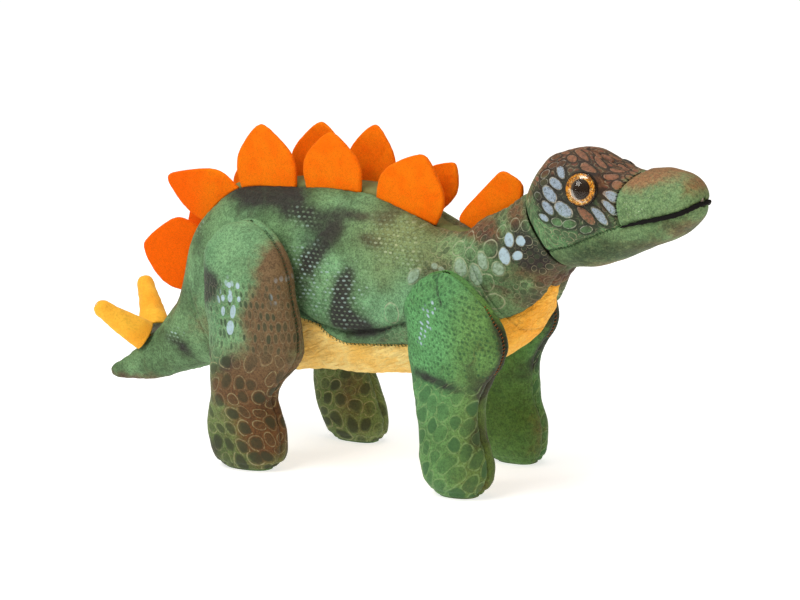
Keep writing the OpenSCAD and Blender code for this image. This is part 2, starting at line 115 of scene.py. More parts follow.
# Outline of a plate: share of the height, share of the base's width.
LEAF = np.array([
    (0, 0.98), (0.12, 1.04), (0.28, 1.07), (0.45, 1.01), (0.6, 0.86), (0.75, 0.62), (0.86, 0.42),
    (0.94, 0.25), (0.985, 0.12), (1.0, 0.03)])
FELT_HALF = 1.35

EYE = {-1: np.array([103.8, 20.6, 146.5]), 1: np.array([100.8, 21.4, 144.5])}
EYE_UP, EYE_AHEAD = 14, 5


# ---------------------------------------------------------------- shape functions
def along(table, u):
    """Smooth values of a table of sections at the positions u."""
    t, u = np.asarray(table, float), np.asarray(u, float)
    i = np.clip(np.floor(u).astype(int), 0, len(t) - 2)
    f = (u - i)[..., None]
    a, b, c, d = t[np.maximum(i - 1, 0)], t[i], t[i + 1], t[np.minimum(i + 2, len(t) - 1)]
    bend, twist = 2 * a - 5 * b + 4 * c - d, 3 * b - a - 3 * c + d
    return 0.5 * (2 * b + (c - a) * f + bend * f ** 2 + twist * f ** 3)


def power(v, e):
    return np.sign(v) * np.abs(v) ** e


def smooth(x, lo, hi):
    t = np.clip((x - lo) / (hi - lo), 0, 1)
    return t * t * (3 - 2 * t)


def bell(x, width):
    return np.exp(-(x / width) ** 2)


def unit(v):
    return v / (np.linalg.norm(v, axis=-1, keepdims=True) + 1e-9)


def mirrored(side, a):
    """Section angles of the left side, for the side that is asked for."""
    return a if side >= 0 else 180 - a


def body_point(table, u, a, inset=0.0):
    """Points of a body or head section u at the angles a."""
    s = along(table, u)
    t, a = np.radians(s[..., 2]), np.radians(a)
    h = np.maximum(s[..., 3] - inset, THINNEST) * power(np.sin(a), 2 / BODY_SQUARE)
    y = np.maximum(s[..., 4] - inset, THINNEST) * power(np.cos(a), 2 / BODY_SQUARE)
    return np.stack([s[..., 0] - h * np.sin(t), y, s[..., 1] + h * np.cos(t)], -1)


def leg_point(leg, u, a, inset=0.0):
    """Points of a leg section u; angle 0 is ahead and 90 outward."""
    table, x0, side, lean, slim = LEGS[leg]
    s = along(table, u) * [1, 1, slim, slim, slim, 1]
    a = np.radians(a)
    out = np.sin(a) >= 0
    thick = np.maximum(np.where(out, s[..., 3], s[..., 4]) - inset, THINNEST)
    square = np.where(out, LEG_SQUARE_OUT, LEG_SQUARE_IN)
    x = x0 + s[..., 1] + lean * (1 - s[..., 0] / LEG_PIVOT_Z)
    x = x + np.maximum(s[..., 2] - inset, THINNEST) * power(np.cos(a), 2 / square)
    y = side * (s[..., 5] + thick * power(np.sin(a), 2 / square))
    return np.stack([x, y, s[..., 0] + 0 * x], -1)


def run_length(grid, axis=0):
    """Distance along a grid line, or a line of points, from its first point."""
    d = np.linalg.norm(np.diff(grid, axis=axis), axis=-1)
    return np.concatenate([0 * np.take(d, [0], axis=axis), np.cumsum(d, axis=axis)], axis=axis)


def leg_rows(leg, count):
    """Positions along a leg's table that lie at equal distances on its outline."""
    table = LEGS[leg][0]
    u = np.linspace(0, len(table) - 1, 600)
    run = run_length(along(table, u)[:, [0, 2]])
    return np.interp(np.linspace(0, run[-1], count), run, u)


def waves(p, size, seed, count=9):
    """Smooth noise between about -1 and 1, made of sine waves about size millimetres long."""
    rng = np.random.default_rng(seed)
    d = unit(rng.normal(size=(count, 3)))
    k = 2 * np.pi / (size * rng.uniform(0.7, 1.5, count))
    return np.sin(p @ (d * k[:, None]).T + rng.uniform(0, 6.28, count)).sum(-1) / np.sqrt(count)


def warp(points, sizes, seed, amount):
    """The points, shifted to and fro along x and z, which gives painted patches uneven outlines."""
    x, z = (waves(points, size, seed + i) for i, size in enumerate(sizes))
    return points + np.stack([x, 0 * x, z], -1) * amount


def blobs(p, spots):
    """How strongly soft spots cover the points p; a spot is x, z, half length, half height, strength."""
    out = np.zeros(p.shape[:-1])
    for x, z, rx, rz, strength in spots:
        out += strength * np.exp(-((p[..., 0] - x) / rx) ** 2 - ((p[..., 2] - z) / rz) ** 2)
    return np.clip(out, 0, 1.3)


def normals(grid, inside):
    """Unit normals of a grid of points, turned to face away from the points inside it."""
    n = unit(np.cross(np.gradient(grid, axis=0), np.gradient(grid, axis=1)))
    return -n if np.sum(n * (grid - inside), -1).mean() < 0 else n


# ---------------------------------------------------------------- meshes
def make_mesh(name, points, faces, attributes, material):
    mesh = bpy.data.meshes.new(name)
    mesh.from_pydata((points * MM).tolist(), [], faces)
    for key, values in attributes.items():
        layer = mesh.attributes.new(key, "FLOAT_VECTOR", "POINT")
        layer.data.foreach_set("vector", np.ascontiguousarray(values, np.float32).ravel())
    mesh.materials.append(material)
    mesh.polygons.foreach_set("use_smooth", np.ones(len(mesh.polygons), bool))
    mesh.update()
    piece = bpy.data.objects.new(name, mesh)
    bpy.context.scene.collection.objects.link(piece)
    return piece


def grid_faces(rows, cols, offset=0, flip=False, wrap=False):
    i, j = np.meshgrid(np.arange(rows - 1), np.arange(cols if wrap else cols - 1), indexing="ij")
    k = (j + 1) % cols
    a, b, c, d = i * cols + j, i * cols + k, (i + 1) * cols + k, (i + 1) * cols + j
    quads = np.stack([a, d, c, b] if flip else [a, b, c, d], -1).reshape(-1, 4) + offset
    return quads.tolist()


def shell(name, grid, inner, n, attributes, material):
    """A closed thin sheet between its outer face, grid, and its inner face; n points outward."""
    rows, cols = grid.shape[:2]
    m, r, c = rows * cols, rows // 2, cols // 2
    cross = np.cross(grid[r, c + 1] - grid[r, c], grid[r + 1, c] - grid[r, c])
    flip = cross @ n[r, c] < 0
    faces = grid_faces(rows, cols, 0, flip) + grid_faces(rows, cols, m, not flip)
    edge = [(0, j) for j in range(cols - 1)] + [(i, cols - 1) for i in range(rows - 1)]
    edge += [(rows - 1, j) for j in range(cols - 1, 0, -1)] + [(i, 0) for i in range(rows - 1, 0, -1)]
    ids = [i * cols + j for i, j in edge]
    for a, b in zip(ids, ids[1:] + ids[:1]):
        faces.append([a, b, b + m, a + m] if flip else [b, a, a + m, b + m])
    points = np.concatenate([grid.reshape(-1, 3), inner.reshape(-1, 3)])
    doubled = {k: np.concatenate([v.reshape(-1, 3)] * 2) for k, v in attributes.items()}
    return make_mesh(name, points, faces, doubled, material)


def capped(rings, ends, flip=False):
    """Points and faces of a closed solid through equal rings; each end is gathered to a point."""
    rows, cols = rings.shape[:2]
    faces = grid_faces(rows, cols, 0, flip, True)
    j, last = np.arange(cols), (rows - 1) * cols
    k = (j + 1) % cols
    for i, (a, b) in enumerate(((k, j), (last + j, last + k))):
        a, b = (b, a) if flip else (a, b)
        faces += np.stack([a, b, 0 * a + rows * cols + i], -1).tolist()
    return np.concatenate([rings.reshape(-1, 3), ends]), faces


def closed_loft(name, rings, material, **extra):
    """A closed solid through rings; extra gives further attributes, the same all over."""
    points, faces = capped(rings, rings[[0, -1]].mean(1))
    attributes = {key: 0 * points + value for key, value in extra.items()}
    return make_mesh(name, points, faces, {"place": points, **attributes}, material)


def sweep(path, radius, sides):
    """Points and faces of a round cord along a path."""
    t = unit(np.gradient(path, axis=0))
    u = unit(np.cross(t, [0.3, 0.9, 0.3]))
    v = np.cross(t, u)
    radius = np.broadcast_to(radius, (len(path),))
    a = np.linspace(0, 2 * np.pi, sides, endpoint=False)[:, None]
    rings = path[:, None] + radius[:, None, None] * (u[:, None] * np.cos(a) + v[:, None] * np.sin(a))
    ends = [path[0] - t[0] * 0.6 * radius[0], path[-1] + t[-1] * 0.6 * radius[-1]]
    return capped(rings, ends)


def join(parts):
    points, faces, n = [], [], 0
    for p, f in parts:
        points.append(p)
        faces += [[i + n for i in face] for face in f]
        n += len(p)
    return np.concatenate(points), faces


# ---------------------------------------------------------------- materials
class Wire:
    """A node's output. Arithmetic on it adds math nodes."""

    def __init__(self, graph, socket):
        self.graph, self.socket = graph, socket

    def __add__(self, other):
        return self.graph.math("ADD", self, other)

    def __sub__(self, other):
        return self.graph.math("SUBTRACT", self, other)

    def __rsub__(self, other):
        return self.graph.math("SUBTRACT", other, self)

    def __mul__(self, other):
        return self.graph.math("MULTIPLY", self, other)

    def __truediv__(self, number):
        return self * (1 / number)

    def step(self, lo, hi, out_lo=0.0, out_hi=1.0):
        """Goes smoothly from out_lo to out_hi while the value goes from lo to hi."""
        return self.graph.wire("ShaderNodeMapRange", {0: self, 1: lo, 2: hi, 3: out_lo, 4: out_hi},
                               interpolation_type="SMOOTHSTEP")

    def fade(self, lo, hi):
        """1 below lo and 0 above hi."""
        return self.step(lo, hi, 1, 0)

    def band(self, start, full, end, out):
        """1 between full and end, and 0 outside start and out."""
        return self.step(start, full) * self.fade(end, out)

    def swing(self, amount):
        """A value between 0 and 1 turned into a shift to both sides."""
        return (self - 0.5) * amount


class Graph:
    """Builds one material's nodes."""

    def __init__(self, name):
        self.material = bpy.data.materials.new(name)
        self.material.use_nodes = True
        self.tree = self.material.node_tree
        self.tree.nodes.clear()

    def node(self, kind, values=(), **settings):
        """A new node; each Wire among its values is linked, and anything else is set."""
        made = self.tree.nodes.new(kind)
        for key, value in settings.items():
            setattr(made, key, value)
        for key, value in dict(values).items():
            if isinstance(value, Wire):
                self.tree.links.new(value.socket, made.inputs[key])
            else:
                made.inputs[key].default_value = value
        return made

    def wire(self, kind, values=(), output=0, **settings):
        return Wire(self, self.node(kind, values, **settings).outputs[output])

    def math(self, operation, *values):
        return self.wire("ShaderNodeMath", dict(enumerate(values)), operation=operation)

    def mix(self, share, a, b, how="MIX"):
        a, b = (v if isinstance(v, Wire) else (*v, 1) for v in (a, b))
        return self.wire("ShaderNodeMix", {0: share, 6: a, 7: b}, 2, data_type="RGBA", blend_type=how)

    def tint(self, share, colour, factors):
        """The colour, multiplied by the factors as far as the share says."""
        return self.mix(share, colour, factors, "MULTIPLY")

    def noise(self, at, scale, detail=3.0, rough=0.55, swirl=0.0):
        return self.wire("ShaderNodeTexNoise", {"Vector": at, "Scale": scale, "Detail": detail,
                                                "Roughness": rough, "Distortion": swirl})

    def cells(self, at, scale, output):
        return self.wire("ShaderNodeTexVoronoi", {"Vector": at, "Scale": scale}, output)

    def attribute(self, name):
        return self.wire("ShaderNodeAttribute", output="Vector", attribute_name=name)

    def object_place(self):
        return self.wire("ShaderNodeTexCoord", output="Object")

    def parts(self, vector):
        return [Wire(self, out) for out in self.node("ShaderNodeSeparateXYZ", {0: vector}).outputs]

    def vector(self, x, y, z=0.0):
        return self.wire("ShaderNodeCombineXYZ", {0: x, 1: y, 2: z})

    def bump(self, height, distance, strength=1.0, under=None):
        values = {"Height": height, "Distance": distance, "Strength": strength}
        if under is not None:
            values["Normal"] = under
        return self.wire("ShaderNodeBump", values)

    def finish(self, colour, roughness, more=()):
        made = self.wire("ShaderNodeBsdfPrincipled",
                         {"Base Color": colour, "Roughness": roughness, **dict(more)})
        self.node("ShaderNodeOutputMaterial", {0: made})
        return self.material

    def cloth(self, colour, roughness, normal, sheen, sheen_roughness, sheen_tint, specular):
        return self.finish(colour, roughness, {
            "Normal": normal, "Sheen Weight": sheen, "Sheen Roughness": sheen_roughness,
            "Sheen Tint": (*sheen_tint, 1), "Specular IOR Level": specular})

    def plush(self, colour, roughness, relief, speckle, sheen=0.07):
        """Printed plush; relief, which may be None, and speckle are each a height, depth and strength."""
        normal = self.bump(*speckle)
        normal = self.bump(*relief, normal) if relief else normal
        return self.cloth(colour, roughness, normal, sheen, 0.45, (0.55, 0.8, 0.5), 0.28)


def shaded(g, colour, value, lo, hi, dark, light):
    """A colour made darker and lighter by a noise."""
    shade = value.step(lo, hi, dark, light)
    return g.tint(1.0, colour, g.vector(shade, shade, shade))


def grain(g, place, colour, amount):
    """The short nap of knitted plush: fine light and dark speckle, and its height."""
    speckle = g.noise(place, 1.25, 3.0, 0.75) * 0.7 + g.noise(place, 0.5, 2.0, 0.6) * 0.3
    return shaded(g, colour, speckle, 0.35, 0.65, 1 - amount, 1 + amount), speckle


def camouflage(g, place, light, deep, dark, rust):
    """Green cloth clouded with near-black and rust patches, the near-black also carrying painted shade where
    that is added to the paint; also how brown it is and where painted foil glints go.
    """
    near_black_and_shade, brown, foil_glint = g.parts(g.attribute("paint"))
    edge = g.noise(place, 0.13, 5.0, 0.7, 0.8).swing(1.5)
    colour = g.mix(g.noise(place, 0.06, 3.0, 0.6).step(0.36, 0.62), deep, light)
    colour = g.mix((brown + edge).step(0.05, 1.15, 0, 0.9), colour, rust)
    colour = g.mix((near_black_and_shade + edge).step(0.05, 1.3, 0, 0.93), colour, dark)
    return colour, brown, foil_glint


def ovals(g, p, q, jitter, aspect, size, vary, slant=0.0):
    """Staggered rows of ovals in a plane of cells: distance, 1 at the rim, and random numbers a cell."""
    row = g.math("FLOOR", q)
    shifted = p + row * 0.5
    column = g.math("FLOOR", shifted)
    chance = g.parts(g.wire("ShaderNodeTexWhiteNoise", {"Vector": g.vector(column, row)}, 1,
                            noise_dimensions="2D"))
    nearest = 0.5 - jitter / 2
    x = shifted - column - (chance[0] * jitter + nearest)
    y = q - row - (chance[1] * jitter + nearest)
    if slant:
        x = x + y * slant
    y = y * aspect
    d = g.math("SQRT", x * x + y * y)
    return g.math("DIVIDE", d, chance[2] * (vary * 1.6) + (size - vary)), chance


def spots(g, x, z, table):
    """Distance, 1 at the rim, to the nearest of a few ovals: x, z, half length, half width, degrees."""
    best = None
    for cx, cz, long, short, turn in table:
        c, s = np.cos(np.radians(turn)), np.sin(np.radians(turn))
        u, v = (g.math("MULTIPLY_ADD", x, a, g.math("MULTIPLY_ADD", z, b, -a * cx - b * cz))
                for a, b in ((c / long, s / long), (-s / short, c / short)))
        d = g.math("MULTIPLY_ADD", u, u, v * v)
        best = d if best is None else g.math("MINIMUM", best, d)
    return g.math("SQRT", best)


def three_kinds(g, x, z, uneven, *tables):
    """Distances to the nearest oval of the first two tables and of all three."""
    first, second, third = (spots(g, x, z, table) + uneven for table in tables)
    return first, second, g.math("MINIMUM", g.math("MINIMUM", first, second), third)


GREEN, GREEN_DEEP = (0.145, 0.275, 0.12), (0.08, 0.15, 0.062)
BRIGHT_GREEN = (0.105, 0.31, 0.11)
NEAR_BLACK, RUST = (0.022, 0.016, 0.018), (0.15, 0.05, 0.024)
# Foil print painted as its reflection: pale blue and gold glints where the foil catches the light.
FOIL_GLINT_BLUE, FOIL_GLINT_GOLD = (0.42, 0.57, 0.66), (0.85, 0.72, 0.36)
RIM = (0.84, 0.95, 0.99, 1.1)

# Big printed ovals, the glint and silver ones foil painted as its glint: x, z, half length, half width,
# degrees of turn. Those of the head are measured from the eye.
NECK_GLINT = [
    (63.8, 118, 3.5, 2.7, -75), (70.3, 118.4, 2.8, 2.6, 0), (62.2, 110.5, 4.2, 2.8, -70),
    (68.6, 111.3, 3, 2.2, 30)]
NECK_PALE = [
    (40, 103, 4.8, 3.4, -50), (48.7, 100.6, 5.6, 3.6, -65), (51.7, 107.4, 4.6, 2.7, -65),
    (59.7, 104.6, 3.6, 3, -45), (17.6, 97.2, 4.2, 2.7, 60), (26.7, 102.3, 2, 1.4, -20),
    (30.8, 101, 2.8, 1.2, -30)]
NECK_RINGS = [
    (54.7, 97.9, 4.2, 3.6, -70), (54.7, 113, 4.2, 3.6, -70), (58.5, 89.4, 4.4, 3.8, 0),
    (41, 115.1, 3.6, 3.3, 0), (44.2, 109.4, 3.6, 2.8, 0), (36.3, 110.7, 3.6, 3, 0),
    (66.4, 125.2, 3.2, 2.8, 60), (72.7, 125.7, 2.8, 2.6, 0), (74, 119, 2.6, 2.4, 0),
    (59, 121, 3.4, 2.8, 40), (48, 91, 4, 3.4, 0), (7, 79, 4.2, 4.8, 0)]
THIGH_SILVER_GLINT = [
    (-66, 82, 2.2, 1.5, 90), (-64.2, 75.8, 3.4, 1.6, 85), (-65.5, 68.2, 3.8, 2.3, 80),
    (-70, 81.5, 1.6, 1.1, 90), (-61.2, 82, 1.5, 1, 90), (-66.5, 88, 1.5, 1.2, 90),
    (-62, 88, 1.5, 1.1, 90), (-69.6, 75.5, 2.4, 1.1, 90)]
EYE_SILVER_GLINT = [
    (-13.4, 6.9, 3.9, 1.9, -50), (-14.5, 1.1, 4.2, 2.2, -28), (-17.1, -4.4, 5.2, 2.9, -38),
    (-17.7, -11.5, 4.2, 2.5, -45), (-9.1, -10.8, 5.2, 3.4, -32), (8.4, -12, 5.2, 2.0, -52),
    (13.6, -2.9, 4.4, 2.1, -34), (12.8, -8, 4.8, 1.5, -46), (-19.8, -17.9, 2.9, 2, 0)]
EYE_BROWN = [
    (2.2, -12.4, 5.4, 2.1, -48), (-10.7, 15, 2.6, 1.9, -25), (-7.8, 19.3, 5.2, 1.7, -30),
    (-0.5, 11.7, 4.9, 2.4, -28), (2.1, 19, 4.6, 1.5, -36), (10.3, 9, 3.2, 2.1, -30),
    (10.7, 14.6, 3.6, 1.4, -32), (14.4, 3.1, 2.8, 2.2, -40), (17.9, 8.8, 2.3, 1.3, -40),
    (-3, 25, 4.2, 1.4, -38), (5.6, 23.4, 3.6, 1.2, -38), (18.1, 13, 2.8, 1.2, -35),
    (-16.7, 19, 2.8, 1.7, -20), (13.4, 18.6, 3.2, 1.2, -35), (-14, 24, 4, 1.5, -30), (3, 28, 4, 1.4, -36),
    (12, 24, 3.6, 1.3, -36)]
EYE_RINGS = [
    (-22, 5, 3, 1.8, 50), (-21.4, 0.8, 2.4, 1.7, 20), (-24, -7, 2.3, 2.1, 0), (-5.9, -17.7, 3.6, 2.3, 20),
    (-15, 11, 2.7, 1.7, 50), (-19, 10, 2.6, 1.6, 30), (2, -19.5, 3, 2, 15), (-12.5, -18, 3, 2.2, 0),
    (-20, 15, 2.8, 1.7, 20)]


def scale_plush():
    """Torso, neck and tail cloth: rows of foil dots, painted as glints where the foil catches the light,
    rings on the shoulder and big ovals on the neck.
    """
    g = Graph("scale_plush")
    place = g.attribute("place")
    x, _, z = g.parts(place)
    warm, rings, painted_highlight = g.parts(g.attribute("zones"))
    colour, _, foil_glint = camouflage(g, place, GREEN, GREEN_DEEP, NEAR_BLACK, RUST)
    colour = g.mix(warm * 0.6, colour, (0.21, 0.225, 0.085))
    # Painted highlight: the cloth lifted paler and bluer in the highlight zones.
    colour = g.tint(painted_highlight * 0.8, colour, (1.3, 1.5, 1.75))
    colour, speckle = grain(g, place, colour, 0.42)
    drift = g.noise(place, 0.03, 1.0).swing(7.0)
    streak = g.noise(place, 0.6, 3.0, 0.65)
    d, chance = ovals(g, (x + drift) / 2.6, (z + drift) / 1.95, 0.14, 1.25, 0.36, 0.1, 0.1)
    fill = d.fade(0.5, 1.0)
    pick = (foil_glint + chance[2] - 0.5).step(0.5, 1.1)
    dotted = fill * (1.0 - rings)
    shine = dotted * pick * streak.step(0.35, 0.6, 0.2, 1.0)
    # Painted glints: foil dots turned pale blue, or gold in the warm zone, where the foil catches the light.
    colour = g.mix(shine * 0.72, colour, g.mix(warm, FOIL_GLINT_BLUE, FOIL_GLINT_GOLD))
    # Dots also a paler green where foil glints are painted.
    colour = g.mix(dotted * foil_glint.step(0.05, 0.4) * 0.32, colour, (0.30, 0.46, 0.28))
    uneven = g.noise(place, 0.35, 2.0).swing(0.3)
    bright, pale, nearest = three_kinds(g, x, z, uneven, NECK_GLINT, NECK_PALE, NECK_RINGS)
    free = nearest.step(1.1, 1.4) * rings
    small, chance = ovals(g, (x * 0.8 + z * 0.6 + drift) / 3.7, (z * 0.8 - x * 0.6 + drift) / 3.1,
                          0.34, 1.0, 0.42, 0.1)
    worn = g.noise(place, 0.3, 3.0, 0.6).step(0.34, 0.56, 0.15, 1.0)
    inside = small.fade(0.7, 0.95) * free
    colour = g.mix(inside * chance[2].step(0.0, 1.0, 0.1, 0.6), colour, (0.04, 0.06, 0.028))
    small_rim = small.band(*RIM) * free * worn
    colour = g.mix(small_rim * chance[0].step(0.0, 1.0, 0.2, 0.8), colour, (0.36, 0.33, 0.20))
    pale_fill = pale.fade(0.7, 1.0)
    colour = g.mix(pale_fill * streak.step(0.3, 0.62, 0.25, 0.75), colour, (0.38, 0.52, 0.40))
    # Painted glints on the neck's glint ovals, in the pale blue of foil.
    glint = bright.fade(0.88, 0.97) * streak.step(0.3, 0.5, 0.6, 1.0)
    colour = g.mix(glint * 0.95, colour, FOIL_GLINT_BLUE)
    colour = g.mix(nearest.band(*RIM) * worn * 0.5, colour, (0.52, 0.54, 0.36))
    rough = 0.72 - (shine + glint + pale_fill * 0.6) * 0.38
    relief = fill * 0.25 + inside * 0.5 + nearest.fade(0.8, 1.05)
    return g.plush(colour, rough, (relief, 0.0005, 0.8), (speckle, 0.0004, 0.8))


def leg_plush():
    """Front leg cloth: small dark pits above, big slanting ovals with pale outlines below."""
    g = Graph("leg_plush")
    place = g.attribute("place")
    x, _, z = g.parts(place)
    p, q, _ = g.parts(g.attribute("cells"))
    lower, pits, plain = g.parts(g.attribute("zones"))
    colour, _, foil_glint = camouflage(g, place, BRIGHT_GREEN, (0.08, 0.24, 0.08), (0.022, 0.02, 0.022), RUST)
    # Painted shade: darker and warmer toward the foot.
    colour = g.tint(z.step(70.0, 24.0, 0.0, 0.8), colour, (1.0, 0.72, 0.56))
    # Painted warm shade on the forward-facing part of the front legs.
    colour = g.tint(x.step(44.0, 62.0, 0.0, 0.75), colour, (1.1, 0.74, 0.5))
    colour, speckle = grain(g, place, colour, 0.4)
    bend = g.noise(place, 0.07, 2.0).swing(4.0)
    d, chance = ovals(g, (p + bend) / 2.3, (q + p * 0.3) / 2.5, 0.4, 1.0, 0.34, 0.12)
    dot = d.fade(0.5, 1.0) * (lower + g.noise(place, 0.08).swing(0.5)).fade(0.2, 0.5)
    pit = dot * pits * chance[2].step(0.05, 0.5, 0.15, 1.0)
    colour = g.mix(pit * 0.6, colour, (0.02, 0.085, 0.03))
    # Painted glints of the foil print where it catches the light.
    shine = dot * (foil_glint + chance[2].swing(0.6)).step(0.45, 0.7)
    colour = g.mix(shine * 0.8, colour, FOIL_GLINT_BLUE)
    low = (lower + g.noise(place, 0.09).swing(0.6)).step(0.4, 0.7) * (1.0 - plain * 0.8)
    colour = g.tint(plain * 0.55, colour, (0.6, 0.55, 0.12))
    drift = g.noise(place, 0.05, 2.0).swing(2.0)
    d, chance = ovals(g, (p * 0.82 - q * 0.57) / 6.6 + drift, (q * 0.82 + p * 0.57) / 10.4 + drift * 0.5,
                      0.26, 0.95, 0.47, 0.11)
    inside = d.fade(0.7, 1.0) * low * chance[0].step(0.0, 1.0, 0.25, 0.75)
    rim = d.band(0.84, 0.97, 0.99, 1.18) * low
    streak = g.noise(place, 0.4, 4.0, 0.65).step(0.38, 0.6, 0.1, 1.0)
    colour = g.mix(inside, colour, (0.028, 0.10, 0.032))
    colour = g.mix(rim * streak * 0.6, colour, (0.22, 0.36, 0.13))
    rough = 0.7 - (shine * 0.4 + rim * 0.15)
    relief = shine * 0.4 - pit * 0.6 + rim * 0.6
    return g.plush(colour, rough, (relief, 0.0005, 0.8), (speckle, 0.00035, 0.7))


def thigh_plush():
    """Hind leg cloth: foil dots that swell into ovals, then brown with overlapping scale arcs; the foil is
    painted as glints where it catches the light.
    """
    g = Graph("thigh_plush")
    place = g.attribute("place")
    x, _, z = g.parts(place)
    p, q, _ = g.parts(g.attribute("cells"))
    _, dots, _ = g.parts(g.attribute("zones"))
    colour, _, foil_glint = camouflage(g, place, (0.165, 0.33, 0.155), (0.12, 0.26, 0.12),
                                 (0.024, 0.018, 0.022), (0.14, 0.065, 0.03))
    # Painted shade: darker and warmer toward the foot.
    colour = g.tint(z.step(70.0, 20.0, 0.0, 0.9), colour, (0.8, 0.52, 0.28))
    colour, speckle = grain(g, place, colour, 0.4)
    bend = g.noise(place, 0.06, 2.0).swing(3.0)
    rows = g.math("POWER", g.math("MAXIMUM", (104.0 - q) / 26, 0.0), 0.62)
    d, chance = ovals(g, (p + bend) / 3.0, rows * 9.0, 0.25, 0.8, 0.36, 0.1)
    dotted = dots * q.step(52.0, 62.0)
    dot = d.fade(0.6, 0.98) * dotted
    rim = d.band(0.84, 0.98, 1.0, 1.2) * dotted
    pick = (foil_glint + chance[2].swing(0.6)).step(0.45, 0.7)
    streak = g.noise(place, 0.7, 3.0, 0.6)
    shine = dot * pick * streak.step(0.25, 0.55, 0.3, 1.0)
    colour = g.mix(dot * (1.0 - pick) * chance[1].step(0.0, 1.0, 0.2, 0.8), colour, (0.03, 0.05, 0.025))
    colour = g.mix(rim * 0.3, colour, (0.32, 0.30, 0.17))
    # Painted glints on the foil dots.
    colour = g.mix(shine * 0.85, colour, FOIL_GLINT_BLUE)
    low = (q + g.noise(place, 0.08).swing(12.0)).step(62.0, 52.0)
    drift = g.noise(place, 0.04, 1.0).swing(1.6)
    big, chance = ovals(g, (p + q * 0.25) / 7.4 + drift, (q - p * 0.2) / 7.8 + drift,
                        0.34, 1.0, 0.47, 0.1, 0.2)
    line = big.band(0.84, 0.95, 0.98, 1.1) * low
    drawn = line * chance[0].step(0.0, 1.0, 0.2, 1.0) * streak.step(0.3, 0.6, 0.1, 0.6)
    colour = g.mix(drawn, colour, (0.40, 0.36, 0.18))
    middle = big.fade(0.55, 0.95) * low
    colour = g.mix(middle * chance[2].step(0.0, 1.0, 0.15, 0.85), colour, (0.028, 0.034, 0.014))
    # Silvery foil ovals painted as glints.
    silver_glint = spots(g, x, z, THIGH_SILVER_GLINT) + streak.swing(0.3)
    silver_glint_fill = silver_glint.fade(0.85, 0.97) * streak.step(0.3, 0.5, 0.5, 1.0)
    colour = g.mix(silver_glint_fill * 0.9, colour, FOIL_GLINT_BLUE)
    outline = rim + line
    rough = 0.68 - ((shine + silver_glint_fill) * 0.42 + outline * 0.15)
    relief = (dot + middle) * 0.5 + outline * 0.5
    return g.plush(colour, rough, (relief, 0.00045, 0.8), (speckle, 0.00035, 0.7))


def crown_plush():
    """Head cloth: long rimmed ovals round the eye, brown above and silvery below, the silvery ones foil
    painted as its glint, rings on the cheek.
    """
    g = Graph("crown_plush")
    place = g.attribute("place")
    x, z, _ = g.parts(g.attribute("cells"))
    colour, brown, _ = camouflage(g, place, (0.12, 0.26, 0.105), (0.07, 0.17, 0.065),
                                  (0.032, 0.020, 0.015), (0.19, 0.06, 0.028))
    colour, speckle = grain(g, place, colour, 0.4)
    streak = g.noise(place, 0.7, 4.0, 0.7, 0.6)
    uneven = g.noise(place, 0.3, 2.0).swing(0.36)
    silver_glint, tan, nearest = three_kinds(g, x, z, uneven, EYE_SILVER_GLINT, EYE_BROWN, EYE_RINGS)
    free = nearest.step(1.1, 1.4) * g.math("SQRT", x * x + z * z).step(9.0, 11.0)
    drift = g.noise(place, 0.06, 2.0).swing(5.0)
    small, chance = ovals(g, (x + drift + z * 0.3) / 4.0, (z + drift) / 3.6, 0.34, 1.0, 0.42, 0.1)
    worn = streak.step(0.38, 0.6, 0.1, 0.8)
    inside = small.fade(0.75, 0.98) * free
    fill_colour = g.mix(brown.step(0.1, 0.7), (0.055, 0.10, 0.045), (0.30, 0.10, 0.06))
    colour = g.mix(inside * chance[2].step(0.0, 1.0, 0.2, 0.7), colour, fill_colour)
    colour = g.mix(small.band(0.8, 0.95, 1.0, 1.18) * free * worn, colour, (0.42, 0.38, 0.24))
    groove = nearest.band(1.02, 1.12, 1.3, 1.9)
    colour = g.mix(groove * 0.75, colour, (0.014, 0.012, 0.010))
    tan_fill = tan.fade(0.98, 1.1)
    patchy = streak.step(0.36, 0.6, 0.25, 1.0)
    colour = g.mix(tan_fill * patchy * 0.85, colour, (0.30, 0.125, 0.065))
    flecks = g.noise(place, 0.9, 4.0, 0.75, 1.2).step(0.38, 0.52, 0.2, 1.0)
    # Painted glints on the silvery foil ovals.
    shine = silver_glint.fade(0.84, 0.96) * flecks
    colour = g.mix(shine * 0.92, colour, (0.33, 0.42, 0.52))
    rim_colour = g.mix(tan_fill, (0.60, 0.58, 0.50), (0.46, 0.27, 0.17))
    colour = g.mix(nearest.band(0.86, 0.95, 0.99, 1.07) * worn, colour, rim_colour)
    rough = 0.62 - (shine * 0.34 + tan_fill * 0.15)
    relief = nearest.fade(0.85, 1.1) + inside * 0.6
    return g.plush(colour, rough, (relief, 0.0007, 0.9), (speckle, 0.0004, 0.7))


def muzzle_plush():
    """Snout and jaw cloth: fine green nap, brown on top and at the tip, with small freckles."""
    g = Graph("muzzle_plush")
    place = g.attribute("place")
    colour, _, foil_glint = camouflage(g, place, (0.155, 0.275, 0.12), (0.11, 0.205, 0.08),
                                 (0.026, 0.05, 0.018), (0.28, 0.115, 0.05))
    freckle = g.cells(place, 0.42, "Distance").fade(0.18, 0.42)
    colour = g.mix(freckle * 0.35, colour, (0.05, 0.10, 0.045))
    colour = g.mix(g.noise(place, 0.5, 4.0, 0.7).step(0.45, 0.8, 0, 0.4), colour, (0.20, 0.24, 0.10))
    colour, speckle = grain(g, place, colour, 0.4)
    # Painted glints of the foil print where it catches the light.
    glint = g.noise(place, 1.6, 1.0).step(0.69, 0.74)
    colour = g.mix(glint * foil_glint * 0.8, colour, (0.7, 0.75, 0.6))
    return g.plush(colour, 0.66, None, (speckle, 0.0004, 0.8), 0.1)


